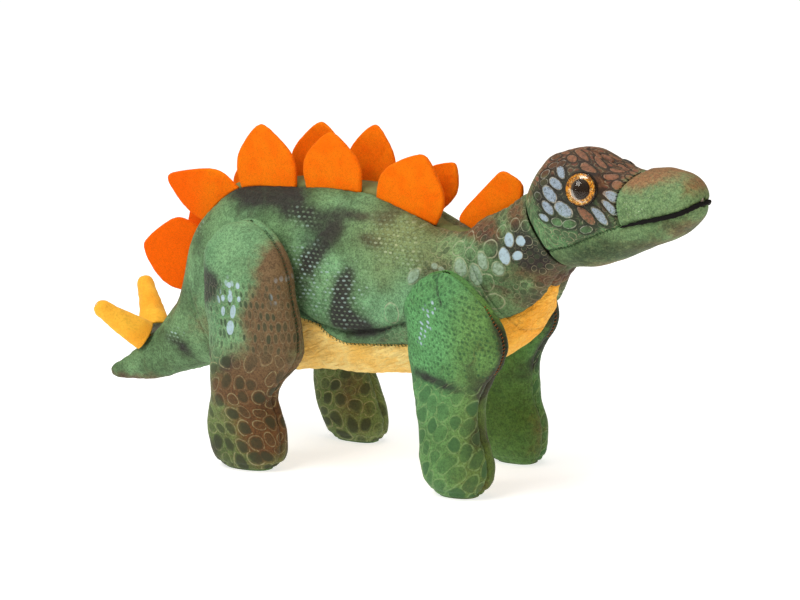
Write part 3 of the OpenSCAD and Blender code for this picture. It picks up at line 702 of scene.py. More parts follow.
def plain_plush(name, light, deep, wrinkle=0.0):
    """Plain short-pile cloth with soft shading and, for the belly, fine slanting wrinkles with painted shade
    in their creases and painted warm shade over the chest.
    """
    g = Graph(name)
    place = g.attribute("place")
    colour = g.mix(g.noise(place, 0.06, 3.0).step(0.3, 0.7), deep, light)
    colour, speckle = grain(g, place, colour, 0.12)
    normal = g.bump(speckle, 0.00035, 0.7)
    if wrinkle:
        x, y, z = g.parts(place)
        slanted = g.vector((x + z * 0.9) * 0.10, y * 0.3, (z - x * 0.45) * 0.62)
        crease = g.noise(slanted, 0.9, 3.0, 0.6, 0.8)
        # Painted shade in the wrinkles' creases.
        colour = g.mix(crease.step(0.35, 0.52, 0.8 * wrinkle, 0), colour, deep)
        # Painted warm shade over the chest.
        colour = g.tint(x.step(42.0, 62.0), colour, (1.0, 0.76, 0.34))
        normal = g.bump(crease, 0.003, 0.9 * wrinkle, normal)
    return g.cloth(colour, 0.85, normal, 0.12, 0.5, (1, 0.85, 0.5), 0.15)


def orange_felt():
    """Dense felt: matted fibres and soft mottling, a deeper orange toward the tail."""
    g = Graph("orange_felt")
    place = g.attribute("place")
    colour = g.mix(g.noise(place, 0.12, 3.0).step(0.3, 0.7), (1.0, 0.17, 0.002), (1.0, 0.215, 0.004))
    colour = g.mix(g.parts(place)[0].step(-98.0, -116.0, 0.0, 0.85), colour, (1.0, 0.125, 0.001))
    mat = g.noise(place, 1.3, 5.0, 0.75, 1.5) * 0.6 + g.noise(place, 4.5, 2.0, 0.7) * 0.4
    colour = shaded(g, colour, mat, 0.34, 0.66, 0.74, 1.16)
    return g.cloth(colour, 0.95, g.bump(mat, 0.0006, 0.8), 0.08, 0.6, (1, 0.45, 0.15), 0.06)


def fibre_fill():
    g = Graph("fibre_fill")
    tuft = g.noise(g.attribute("place"), 0.35, 5.0, 0.7, 1.0)
    colour = g.mix(tuft.step(0.3, 0.7), (0.62, 0.60, 0.56), (0.86, 0.85, 0.82))
    return g.finish(colour, 0.95, {"Normal": g.bump(tuft, 0.002)})


def thread(name, light, deep):
    g = Graph(name)
    twist = g.noise(g.attribute("place"), 2.4, 2.0, 0.6)
    return g.finish(g.mix(twist, deep, light), 0.85,
                    {"Specular IOR Level": 0.12, "Normal": g.bump(twist, 0.0002)})


def gold_glitter():
    """Gold flakes under the dome, each with its own brightness and tilt, a few lifted to a painted pale
    sparkle.
    """
    g = Graph("gold_glitter")
    bright, tilt, painted_sparkle = g.parts(g.cells(g.attribute("place"), 1.7, "Color"))
    colour = g.mix(bright.step(0.0, 0.9), (0.12, 0.025, 0.001), (0.95, 0.42, 0.012))
    # Painted highlight: a few flakes lifted to a pale sparkle.
    colour = g.mix(painted_sparkle.step(0.84, 0.9), colour, (1.0, 0.80, 0.30))
    ring = g.parts(g.attribute("cells"))[0]
    colour = g.mix(ring.step(4.4, 5.4, 0.85, 0), colour, (0.06, 0.018, 0.003))
    colour = g.mix(ring.step(6.8, 7.4, 0, 0.8), colour, (0.05, 0.018, 0.004))
    return g.finish(colour, 0.45, {"Normal": g.bump(tilt + bright, 0.0004, 0.5), "Specular IOR Level": 0.4})


def pupil_plastic():
    g = Graph("pupil_plastic")
    colour = g.mix(g.noise(g.attribute("place"), 0.4, 2.0), (0.006, 0.004, 0.003), (0.025, 0.012, 0.006))
    return g.finish(colour, 0.4, {"Specular IOR Level": 0.15})


def plastic(name, scale, dark, light, roughness, depth):
    """Moulded plastic with a very fine speckle."""
    g = Graph(name)
    speck = g.noise(g.object_place(), scale, 2.0)
    return g.finish(g.mix(speck, dark, light), roughness, {"Normal": g.bump(speck, depth, 0.3)})


def clear_lens():
    """The eye's clear dome: see-through, with sharp reflections that grow towards its edge."""
    g = Graph("clear_lens")
    edge = g.wire("ShaderNodeFresnel", {"IOR": 1.5})
    clear = g.wire("ShaderNodeBsdfTransparent", {"Color": (0.98, 0.95, 0.9, 1)})
    gloss = g.wire("ShaderNodeBsdfGlossy", {"Color": (1, 1, 1, 1), "Roughness": 0.03})
    both = g.wire("ShaderNodeMixShader", {0: edge * 0.32, 1: clear, 2: gloss})
    g.node("ShaderNodeOutputMaterial", {0: both})
    return g.material


SCALES, LEG, THIGH, CROWN, MUZZLE = scale_plush(), leg_plush(), thigh_plush(), crown_plush(), muzzle_plush()
OLIVE = plain_plush("olive_plush", (0.19, 0.20, 0.07), (0.12, 0.14, 0.05))
BELLY = plain_plush("belly_plush", (1.0, 0.76, 0.28), (0.95, 0.56, 0.12), 1.0)
SPIKE = plain_plush("spike_plush", (1.0, 0.53, 0.05), (1.0, 0.42, 0.03), 0.15)
FELT, FILL = orange_felt(), fibre_fill()
BLACK_THREAD = thread("black_thread", (0.012, 0.011, 0.011), (0.003, 0.003, 0.003))
GREEN_THREAD = thread("green_thread", (0.06, 0.13, 0.06), (0.02, 0.05, 0.025))
RUST_THREAD = thread("rust_thread", (0.42, 0.16, 0.05), (0.2, 0.07, 0.02))
BLACK = plastic("black_plastic", 900.0, (0.010, 0.009, 0.008), (0.022, 0.018, 0.016), 0.25, 0.00002)
WHITE = plastic("white_plastic", 500.0, (0.68, 0.68, 0.66), (0.78, 0.78, 0.76), 0.5, 0.00003)
GLITTER, PUPIL, LENS = gold_glitter(), pupil_plastic(), clear_lens()


# ---------------------------------------------------------------- painted zones
TORSO_DARK = [
    (-82, 125, 15, 9, 1.2), (-62, 126, 14, 8, 1.3), (-50, 119, 8, 7, 1.2), (-37, 118, 9, 4, 0.8),
    (-26, 113, 6, 7, 1.2), (-16, 121, 12, 3.5, 1.2), (-34, 106, 6, 8, 1.1), (-39, 95, 6, 9, 1.1),
    (-7, 108.5, 7, 4.5, 1.3), (0, 130, 8, 4, 1.0), (1, 121, 6, 4, 0.9), (-19, 88, 5.5, 8, 1.4),
    (-18, 77, 6, 8, 1.4), (-12, 70, 9, 6, 1.4), (-46, 84, 5, 6, 0.8), (27.5, 104, 7, 4.5, 1.5),
    (-117, 45, 9, 4, 1.1), (-100, 98, 7, 10, 0.5), (68, 122, 8, 8, 1.4), (76, 115, 9, 8, 1.4),
    (78, 108, 8, 7, 0.8), (68, 93, 11, 5, 0.65), (-148, 29, 9, 4, 0.6), (60, 113, 6, 5, 0.6),
    (50, 119, 8, 3, 0.8)]
TORSO_RUST = [
    (34, 118, 15, 4, 1.2), (50, 122, 9, 4.5, 1.1), (62, 132, 8, 5, 1.0), (80, 101, 10, 8, 0.8),
    (66, 91, 13, 5, 0.55), (72, 106, 10, 8, 0.5), (-120, 70, 5, 14, 1.0), (-142, 27, 16, 5, 1.1),
    (-96, 60, 10, 10, 0.5), (20, 122, 10, 6, 0.5)]
# Where the foil print is painted as catching the light: painted glints.
TORSO_FOIL_GLINT = [
    (-38, 93, 10, 12, 0.65), (-20, 84, 16, 13, 0.8), (-47, 82, 6, 8, 0.7), (-45, 117, 9, 6, 0.5),
    (4, 113, 14, 10, 0.55), (22, 100, 12, 7, 0.4), (46, 100, 5, 6, 0.9), (49, 107, 4, 5, 1.2),
    (57, 104, 4, 4, 1.0), (36, 102, 4, 5, 0.7), (61, 110, 4, 5, 1.1), (67, 117, 6, 6, 1.3),
    (68, 110, 4, 4, 1.1), (-118, 52, 5, 4, 0.7), (-106, 104, 4, 4, 0.8), (-45, 98, 8, 6, 0.6)]
TORSO_WARM = [(6, 115, 18, 11, 1.1), (28, 103, 12, 8, 0.8), (2, 96, 10, 8, 0.4)]
# Patches of painted highlight, where the cloth is lifted paler and bluer.
TORSO_PAINTED_HIGHLIGHT = [
    (-34, 78, 12, 12, 0.9), (0, 80, 16, 12, 1.0), (-40, 106, 8, 8, 0.8), (-24, 97, 9, 6, 0.8),
    (20, 90, 10, 10, 0.8), (42, 100, 10, 8, 0.6), (-100, 80, 10, 12, 0.5), (-24, 126, 8, 3, 0.5),
    (-74, 104, 12, 14, 0.6)]
LEG_DARK = {
    "front_right": [(38, 58, 11, 3.8, 1.3), (50, 55.5, 8, 3.4, 1.2), (22, 80, 4, 8, 0.9),
        (28, 30, 3.5, 12, 0.9), (64, 58, 4.5, 11, 0.8), (60, 28, 3.2, 12, 0.8)],
    "hind_right": [(-84, 84, 9, 11, 1.5), (-78, 90, 6, 5, 0.8), (-78, 8, 8, 6, 1.0), (-68, 52, 9, 5, 0.9),
        (-50, 30, 9, 9, 0.5)],
    "front_left": [(40, 70, 18, 10, 0.7), (42, 44, 14, 5, 0.6)],
    "hind_left": [(-60, 62, 18, 10, 0.7), (-56, 30, 10, 8, 0.6)]}
LEG_RUST = {
    "front_right": [(66, 70, 5, 12, 0.2), (60, 6, 8, 5, 0.4)],
    "hind_right": [(-42, 94, 11, 18, 1.6), (-43, 70, 13, 18, 1.6), (-55, 44, 22, 11, 1.5),
        (-50, 20, 15, 18, 1.4), (-72, 36, 8, 8, 0.8)],
    "front_left": [(54, 16, 8, 18, 0.5), (58, 60, 7, 30, 0.5)],
    "hind_left": [(-50, 24, 9, 16, 0.7), (-60, 50, 12, 12, 0.3)]}
# Where the foil print is painted as catching the light: painted glints.
LEG_FOIL_GLINT = {
    "front_right": [(37, 80, 5, 9, 0.8), (42, 90, 3, 4, 0.55)],
    "hind_right": [(-66, 89, 5, 6, 0.9), (-43, 90, 4, 12, 0.6), (-71, 82, 3, 6, 0.5)],
    "front_left": [(47, 36, 5, 5, 0.5)],
    "hind_left": [(-60, 90, 8, 10, 0.6)]}
HEAD_DARK = [
    (92, 147, 12, 12, 1.2), (104, 150, 14, 10, 1.0), (110, 134, 12, 7, 0.9), (97, 124, 10, 5, 0.6),
    (80, 140, 7, 8, 0.9), (88, 134, 6, 6, 0.5)]
HEAD_RUST = [
    (96, 161, 22, 7, 1.3), (80, 153, 9, 9, 0.9), (116, 155, 8, 7, 1.1), (113, 144, 5, 9, 0.8),
    (70, 142, 5, 6, 0.7)]
SNOUT_RUST = [
    (122, 158, 15, 7, 1.25), (140, 160, 17, 7, 1.3), (156, 152, 5, 7, 0.9), (127, 151, 10, 5, 0.5)]
JAW_RUST = [(152, 130, 9, 6, 1.0), (136, 119, 20, 5, 1.0), (112, 108, 22, 4.5, 0.9)]
JAW_DARK = [
    (97, 110, 10, 5, 0.7), (148, 132, 8, 6, 1.0), (122, 116, 30, 7, 0.9), (130, 123, 14, 6, 0.6),
    (105, 118, 16, 7, 0.45)]
# Where the foil print is painted as catching the light: painted glints.
SNOUT_FOIL_GLINT = [(128, 137, 10, 6, 1.0), (140, 145, 14, 6, 0.6)]


def patches(warped, points, dark, rust, foil_glint):
    """Strengths of the dark and rust patches and of the painted foil glints."""
    return np.stack([blobs(warped, dark), blobs(warped, rust), blobs(points, foil_glint)], -1)


def crease_line(x):
    """Height of the crease above the belly seam, and how strong it is."""
    line = np.interp(x, [-48, -44, -34.5, -21, -1, 10, 20], [77, 74.2, 68.2, 65.5, 68.8, 73.3, 77])
    return line, smooth(x, -54, -44) * smooth(x, 24, 14)


def torso_attributes(points):
    """Paint strengths and zones of the body cloth, with painted shade along the crease above the belly seam
    and zones of painted highlight.
    """
    x, z = points[..., 0], points[..., 2]
    line, reach = crease_line(x)
    paint = patches(warp(points, (34, 30), 5, 3.0), points, TORSO_DARK, TORSO_RUST, TORSO_FOIL_GLINT)
    # Painted shade along the crease above the belly seam.
    paint[..., 0] += 0.75 * bell(z - line, 1.4) * reach
    rings = np.clip(smooth(x, 14, 30) + 0.8 * smooth(x, -10, 6) * smooth(z, 90, 70), 0, 1)
    # warm marks an olive zone of the print; light marks the painted highlight.
    warm, light = (np.clip(blobs(points, table), 0, 1) for table in (TORSO_WARM, TORSO_PAINTED_HIGHLIGHT))
    return {"place": points, "paint": paint, "zones": np.stack([warm, rings, light], -1)}


# ---------------------------------------------------------------- fabric panels
def seam_relief(grid, n, depth, width, pucker, seed):
    """Pulls a panel in along its two seams, with small puckers across them."""
    girth, run = run_length(grid, 1), run_length(grid, 0)
    ripple = np.sin(run * 1.15 + 2.2 * waves(grid, 17, seed)) * (0.6 + 0.4 * waves(grid, 23, seed + 1))
    out = grid
    for d in (girth, girth[:, -1:] - girth):
        push = pucker * np.exp(-d / 4.2) * ripple - depth * bell(d, width) - 0.5 * np.exp(-d / 4.0)
        out = out + n * push[..., None]
    return out


def edge_doubled(v, axis, sides):
    """A grid with its first line, its last one, or both repeated."""
    first, last = np.take(v, [0], axis), np.take(v, [-1], axis)
    return np.concatenate([first] * sides[0] + [v] + [last] * sides[1], axis)


def sewn(name, grid, n, attributes, thickness, material, tuck=1.8, ends=(False, False)):
    """A cloth panel with its seam edges turned inward; ends tells if its first and last row are seams."""
    grid = grid.copy()
    for edge, beside in ((0, 1), (-1, -2)):
        grid[:, edge] += SEAM_GAP * unit(grid[:, beside] - grid[:, edge])
    for axis, sides in ((1, (True, True)), (0, ends)):
        grid, n = edge_doubled(grid, axis, sides), edge_doubled(n, axis, sides)
        attributes = {key: edge_doubled(v, axis, sides) for key, v in attributes.items()}
        for used, edge in zip(sides, (0, -1)):
            at = (slice(None), edge) if axis else edge
            grid[at] -= n[at] * tuck * used
    return shell(name, grid, grid - n * thickness, n, attributes, material)


def angle_grid(table, u, cols, arc):
    """Rows of angles between a panel's two seams."""
    low, high = along(table, u)[:, 5:, None].transpose(1, 0, 2)
    first, last = {"left": (low, high), "right": (180 - high, 180 - low), "over": (high, 180 - high),
                   "muzzle": (low, 180 - low), "under": (-180 - low, low)}[arc]
    f = np.linspace(0, 1, cols)[None]
    return first * (1 - f) + last * f


def torso_crease(points):
    """The soft roll of cloth above the belly seam between the legs, as an inward push."""
    line, reach = crease_line(points[..., 0])
    above = points[..., 2] - line
    return (3.4 * bell(above, 1.2) - 1.8 * bell(above + 3.4, 2.0) - 0.9 * bell(above - 4.5, 3.5)) * reach


def body_surface(u, a):
    """The stuffed body skin: sections plus the lumps, rolls and creases of stuffed cloth."""
    grid = body_point(BODY, u, a)
    n = normals(grid, body_point(BODY, u, 0 * a) * [1, 0, 1])
    x = grid[..., 0]
    push = 0.55 * waves(grid, 42, 11) + 0.22 * waves(grid, 15, 12) - torso_crease(grid)
    push = push + smooth(x, 38, 62) * 0.25 * waves(grid * [1, 1, 0.4], 9, 13)
    belly = smooth(np.sin(np.radians(a)), -0.35, -0.8) * smooth(x, -90, -60) * smooth(x, 60, 40)
    push = push + belly * 0.3 * waves(grid * [1.6, 0.6, 1], 8, 14)
    return grid + n * push[..., None], n


BODY_RUN_U = np.linspace(0, BODY_END, 900)
BODY_RUN = run_length(along(BODY, BODY_RUN_U)[:, :2])


def body_panel(name, u0, u1, cols, arc, material, spacing=1.7, seed=1):
    """A cloth panel of the body, with rows of points about spacing millimetres apart."""
    run = np.interp([u0, u1], BODY_RUN_U, BODY_RUN)
    count = max(4, int(round((run[1] - run[0]) / spacing)))
    u = np.interp(np.linspace(run[0], run[1], count + 1), BODY_RUN, BODY_RUN_U)
    u[0], u[-1] = u0, u1
    grid, n = body_surface(u[:, None], angle_grid(BODY, u, cols, arc))
    grid = seam_relief(grid, n, 1.15, 1.7, 0.32, seed)
    attributes = torso_attributes(grid) if material is SCALES else {"place": grid}
    return sewn(name, grid, n, attributes, BODY_CLOTH, material, 2.2)


def along_line(joint, tilt, distance):
    t = np.radians(tilt)
    return tuple((joint + np.array([np.cos(t), 0, np.sin(t)]) * distance) * MM)


def dress(piece, slot, *nodes, body=None, bend=None, fill=None):
    """Hides the CAD parts that a finished piece replaces and attaches it to its body; a piece given a bend
    only has its placement baked in.
    """
    if nodes:
        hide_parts(*nodes)
    if bend:
        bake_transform(piece)
    else:
        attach(piece, body)


TAIL_BEND = ("torso", "tail", along_line(TAIL_JOINT, 29, 8), along_line(TAIL_JOINT, 29, -12))
NECK_BEND = ("torso", "neck", along_line(NECK_JOINT, 43, -9), along_line(NECK_JOINT, 43, 6))
HEAD_BEND = ("neck", "head", along_line(NECK_JOINT, 43, 10), along_line(HEAD_JOINT, 43.4, -0.5))


def build_body():
    for side, seed in (("left", 21), ("right", 31)):
        for part, u0, u1, cols, spacing, fill, bend in (
                ("torso", TAIL_CUT, NECK_CUT, 60, 1.7, 0.8, None),
                ("tail", 0, TAIL_CUT, 34, 1.5, 0.85, TAIL_BEND),
                ("neck", NECK_CUT, COLLAR_CUT, 52, 1.3, 0.85, NECK_BEND),
                ("collar", COLLAR_CUT, BODY_END - 0.05, 52, 1.1, 0.85, HEAD_BEND)):
            piece = body_panel(f"{part}_cloth_{side}", u0, u1, cols, side, SCALES, spacing, seed)
            nodes = [] if part == "collar" else [f"{part}_side_{side}"]
            dress(piece, "scale_plush", *nodes, body="torso", bend=bend, fill=fill)
    collar_end = BODY_END - 0.03
    for name, u0, u1, cols, arc, material, slot, nodes, bend in (
            ("back_strip", TAIL_CUT, NECK_CUT, 14, "over", OLIVE, "olive_plush", ["back_gusset"], None),
            ("back_strip_tail", 0, TAIL_CUT, 8, "over", OLIVE, "olive_plush", [], TAIL_BEND),
            ("back_strip_neck", NECK_CUT, COLLAR_CUT, 10, "over", SCALES, "scale_plush", [], NECK_BEND),
            ("back_strip_collar", COLLAR_CUT, collar_end, 10, "over", SCALES, "scale_plush", [], HEAD_BEND),
            ("belly_cloth", TAIL_CUT, NECK_CUT, 60, "under", BELLY, "belly_plush", ["belly_panel"], None),
            ("belly_cloth_tail", 0, TAIL_CUT, 14, "under", SCALES, "scale_plush", [], TAIL_BEND),
            ("belly_cloth_neck", NECK_CUT, COLLAR_CUT, 30, "under", BELLY, "belly_plush", [], NECK_BEND),
            ("belly_cloth_collar", COLLAR_CUT, collar_end, 10, "under", SCALES, "scale_plush", [],
             HEAD_BEND)):
        piece = body_panel(name, u0, u1, cols, arc, material)
        dress(piece, slot, *nodes, body="torso", bend=bend, fill=0.8)


def build_fillings():
    a = np.linspace(-90, 270, 36, endpoint=False)
    for part, table, u0, u1, inset in (("torso", BODY, TAIL_CUT + 0.5, NECK_CUT - 0.6, 5.5),
                                       ("tail", BODY, 0.9, 5.2, 3.6), ("neck", BODY, 14.1, 14.75, 5.5),
                                       ("head", HEAD, 0.7, 8.2, 5.0)):
        rings = body_point(table, np.linspace(u0, u1, 40)[:, None], a[None], inset)
        rings = rings + waves(rings, 12, 41)[..., None] * 0.5
        piece = closed_loft(f"{part}_filling", rings, FILL)
        dress(piece, "stuffing", f"{part}_stuffing", body=part)


# ---------------------------------------------------------------- head
def eye_frame(side):
    """Where an eye is sewn on, and its own directions as columns; the third points out of the cloth."""
    up = Matrix.Rotation(np.radians(-side * (90 - EYE_UP)), 3, "X")
    turn = Matrix.Rotation(np.radians(-side * EYE_AHEAD), 3, "Z")
    return EYE[side] * [1, side, 1], np.array(turn @ up)


def head_surface(u, a):
    """The stuffed head skin, flattened under each eye."""
    grid = body_point(HEAD, u, a)
    n = normals(grid, body_point(HEAD, u, 0 * a) * [1, 0, 1])
    push = 0.35 * waves(grid, 26, 51) + 0.12 * waves(grid, 9, 52)
    grid = grid + n * push[..., None]
    for side in (1, -1):
        centre, axes = eye_frame(side)
        axis = axes[:, 2]
        height = (grid - centre) @ axis
        across = np.linalg.norm(grid - centre - height[..., None] * axis, axis=-1)
        near = smooth(across, 12, 8) * (np.abs(height) < 9)
        level = -0.1 - 0.5 * smooth(across, 7, 10)
        grid = grid + axis * ((level - height) * near)[..., None]
    return grid, n


def seam_u(a):
    """Where the snout seam crosses the head at each angle: it runs forward over the top."""
    return SNOUT_SEAM + 0.75 * np.maximum(np.sin(np.radians(a)), 0) ** 2


def head_panel(name, u0, u1, rows, cols, arc, material, tables, ends, seed):
    """A head panel; ends says whether its first and last row are seams too."""
    a = angle_grid(HEAD, np.linspace(u0, u1, rows), cols, arc)
    first = seam_u(a) + SEAM_STEP if arc == "muzzle" else u0 + 0 * a
    last = seam_u(a) if arc in ("left", "right") else u1
    grid, n = head_surface(first + (last - first) * np.linspace(0, 1, rows)[:, None], a)
    grid = seam_relief(grid, n, 0.9, 1.2, 0.2, seed)
    run = run_length(grid, 0)
    for used, d in zip(ends, (run, run[-1:] - run)):
        grid = grid - n * (used * 0.9 * bell(d, 1.3))[..., None]
    eye = EYE[-1 if arc == "right" else 1]
    rise = run_length(grid, 1)
    rise = rise[:, -1:] - rise if arc == "right" else rise
    level = [np.interp(eye[2], z[np.argsort(up)], np.sort(up)) for z, up in zip(grid[..., 2], rise)]
    cells = np.stack([grid[..., 0] - eye[0], rise - np.array(level)[:, None], 0 * rise], -1)
    paint = patches(warp(grid, (22, 20), 7, 1.5), grid, *tables)
    attributes = {"place": grid, "cells": cells, "paint": paint}
    return sewn(name, grid, n, attributes, HEAD_CLOTH, material, ends=ends)


def build_head():
    snout, jaw = ([], SNOUT_RUST, SNOUT_FOIL_GLINT), (JAW_DARK, JAW_RUST, [])
    crown = (HEAD_DARK, HEAD_RUST, [])
    for name, u0, u1, rows, cols, arc, material, tables, closed, seed, slot, node in (
            ("crown_cloth_left", 0, SNOUT_SEAM, 52, 46, "left", CROWN, crown, True, 61, "crown_plush",
             "crown_left"),
            ("crown_cloth_right", 0, SNOUT_SEAM, 52, 46, "right", CROWN, crown, True, 67, "crown_plush",
             "crown_right"),
            ("snout_cloth", SNOUT_SEAM + SEAM_STEP, HEAD_TIP, 50, 64, "muzzle", MUZZLE, snout, False, 71,
             "muzzle_plush", "snout_panel"),
            ("jaw_cloth", 0, HEAD_TIP, 84, 60, "under", MUZZLE, jaw, False, 77, "muzzle_plush",
             "jaw_panel")):
        piece = head_panel(name, u0, u1, rows, cols, arc, material, tables, (True, closed), seed)
        dress(piece, slot, node, body="head", fill=0.9)
    build_mouth()
    for side, tag in ((1, "left"), (-1, "right")):
        build_eye(side, tag)


def mouth_half(side):
    """One side of the mouth line, from its corner to the tip, a little inside the cloth."""
    u = np.linspace(SNOUT_SEAM + 0.05, HEAD_TIP, 40)
    p = body_point(HEAD, u, mirrored(side, along(HEAD, u)[:, 5]))
    return p - 0.15 * unit(p * [0, 1, 0])


def build_mouth():
    """A thick black cord round the mouth, tapering at its corners."""
    path = np.concatenate([mouth_half(-1), [[157.0, 0, 142.2]], mouth_half(1)[::-1]])
    f = np.linspace(-1, 1, len(path))
    radius = 1.15 * (1 - 0.75 * np.abs(f) ** 6) + 0.12 * np.sin(np.arange(len(path)) * 1.7)
    radius[len(path) // 2] *= 0.8
    points, faces = sweep(path, radius, 10)
    points = points + waves(points, 4, 81)[:, None] * 0.12
    piece = make_mesh("mouth_cord", points, faces, {"place": points}, BLACK_THREAD)
    dress(piece, "black_trim", "mouth_line", body="head")


def lathe(name, profile, side, material):
    """A piece turned about the eye's axis; profile is radius and height above the cloth."""
    r, h = np.array(profile).T[..., None]
    a = np.linspace(0, 2 * np.pi, 72, endpoint=False)
    rings = np.stack([r * np.cos(a), r * np.sin(a), h + 0 * a], -1)
    points, faces = capped(rings, rings[[0, -1]].mean(1), True)
    centre, axes = eye_frame(side)
    world = points @ axes.T + centre
    rim = np.linalg.norm(points[:, :2], axis=1)
    cells = np.stack([rim, 0 * rim, 0 * rim], -1)
    return make_mesh(name, world, faces, {"place": world, "cells": cells}, material)


IRIS = ((4.1, 2.6), (4.9, 2.3), (5.9, 2.35), (6.9, 2.7), (7.4, 2.75), (7.45, 2.2), (5.8, 1.85), (3.7, 1.85))
PUPIL_PROFILE = ((0.8, 3.1), (2.1, 3.05), (3.3, 2.95), (4.4, 2.75), (4.75, 2.5), (4.6, 2.2))


def build_eye(side, tag):
    dress(lathe(f"iris_ring_{tag}", IRIS, side, GLITTER), "gold_iris", f"eye_iris_{tag}", body="head")
    dress(lathe(f"pupil_{tag}", PUPIL_PROFILE, side, PUPIL), "black_plastic", body="head")
    for node, material in (("stem", BLACK), ("washer", WHITE), ("dome", LENS)):
        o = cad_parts[f"eye_{node}_{tag}"]
        o.data.materials.clear()
        o.data.materials.append(material)


# ---------------------------------------------------------------- legs
def dart_line(leg, points):
    """How far ahead the points lie of the short dart at the top of a front leg."""
    return points[..., 0] - (LEGS[leg][1] - 9.6 + 0.95 * (100 - points[..., 2]))


def leg_surface(leg, u, a):
    """The stuffed skin of a leg, with the dart at the top of a front leg."""
    grid = leg_point(leg, u, a)
    centre = leg_point(leg, u, 0 * a)
    centre[..., 0] = (centre[..., 0] + leg_point(leg, u, 0 * a + 180)[..., 0]) / 2
    n = normals(grid, centre)
    seed = 90 + sum(map(ord, leg)) % 50
    push = (0.5 * waves(grid, 30, seed) + 0.2 * waves(grid, 12, seed + 1)) * smooth(grid[..., 2], 0, 8)
    if leg.startswith("front"):
        beside, outer = dart_line(leg, grid), np.sin(np.radians(a)) > 0.2
        groove = bell(beside, 0.9) + 0.35 * bell(beside, 3.2)
        push = push - 1.1 * groove * smooth(grid[..., 2], 89, 92) * outer
    return grid + n * push[..., None], n


def leg_panel(leg, half):
    """The outer or inner cloth of a leg."""
    outer, front, side = half == "outer", leg.startswith("front"), LEGS[leg][2]
    a = np.linspace(0, 180, 56)[None] + (0 if outer else 180)
    grid, n = leg_surface(leg, leg_rows(leg, 96)[:, None], a)
    grid = seam_relief(grid, n, 1.0, 1.5, 0.25, 95)
    girth, z = run_length(grid, 1), grid[..., 2]
    grid = grid - n * (0.8 * bell(z - 2.6, 0.8) * (1 + 0.3 * np.sin(girth * 1.4)))[..., None]
    grid[..., 2] = np.maximum(grid[..., 2], 0.12)
    girth, z = run_length(grid, 1), grid[..., 2]
    across = (girth - girth[:, 28:29]) * (side if outer else -side)
    paint = patches(warp(grid, (24, 22), 9, 2.0), grid, LEG_DARK[leg], LEG_RUST[leg], LEG_FOIL_GLINT[leg])
    zones = [0 * z, smooth(z, 96, 84), 0 * z]
    if front:
        seam = girth if outer else girth[:, -1:] - girth
        # Painted shade along the front seam of a front leg.
        paint[..., 0] += 1.5 * bell(seam, 5.0) * smooth(z, 40, 52) * smooth(z, 90, 78)
        paint[..., 0] += outer * 1.2 * bell(dart_line(leg, grid), 0.8) * smooth(z, 89, 91)
        zones = [smooth(z, 66, 46), 1 + 0 * z, 0 * z + (not outer)]
    attributes = {"place": grid, "zones": np.stack(zones, -1), "cells": np.stack([across, z, 0 * z], -1),
                  "paint": paint}
    return sewn(f"{leg}_cloth_{half}", grid, n, attributes, LEG_CLOTH, LEG if front else THIGH)


SOLE = ((0.02, 0.0), (0.6, 0.0), (0.93, 0.0), (0.98, 0.2), (0.99, 0.7), (0.94, 1.3), (0.5, 1.9), (0.02, 2.0))


def build_leg(leg):
    body = f"{leg}_leg"
    for half in ("outer", "inner"):
        dress(leg_panel(leg, half), "leg_plush", f"{leg}_{half}", body=body, fill=0.9)
    a = np.linspace(0, 360, 64, endpoint=False)
    rim = leg_point(leg, 0 * a + 0.35, a)
    middle = rim.mean(0)
    rings = [(middle + (rim - middle) * share) * [1, 1, 0] + [0, 0, height] for share, height in SOLE]
    sole = closed_loft(f"{leg}_sole_pad", np.array(rings), LEG, zones=[1, 0, 0], paint=[0.5, 0.3, 0])
    dress(sole, "leg_plush", f"{leg}_sole", body=body, fill=0.7)
    rings = leg_point(leg, leg_rows(leg, 34)[4:-3, None], a[None, ::2], 4.0)
    rings[..., 2] = np.maximum(rings[..., 2], 3.5)
    dress(closed_loft(f"{leg}_filling", rings, FILL), "stuffing", f"{leg}_stuffing", body=body)


# ---------------------------------------------------------------- felt plates
def back_line(side):
    """The line on the back that a row of plates is sewn to; side 0 is the middle."""
    u = np.linspace(0, BODY_END, 500)
    p = body_point(BODY, u, mirrored(side, along(BODY, u)[:, 6] if side else 90 + 0 * u))
    return p[np.argsort(p[:, 0])]


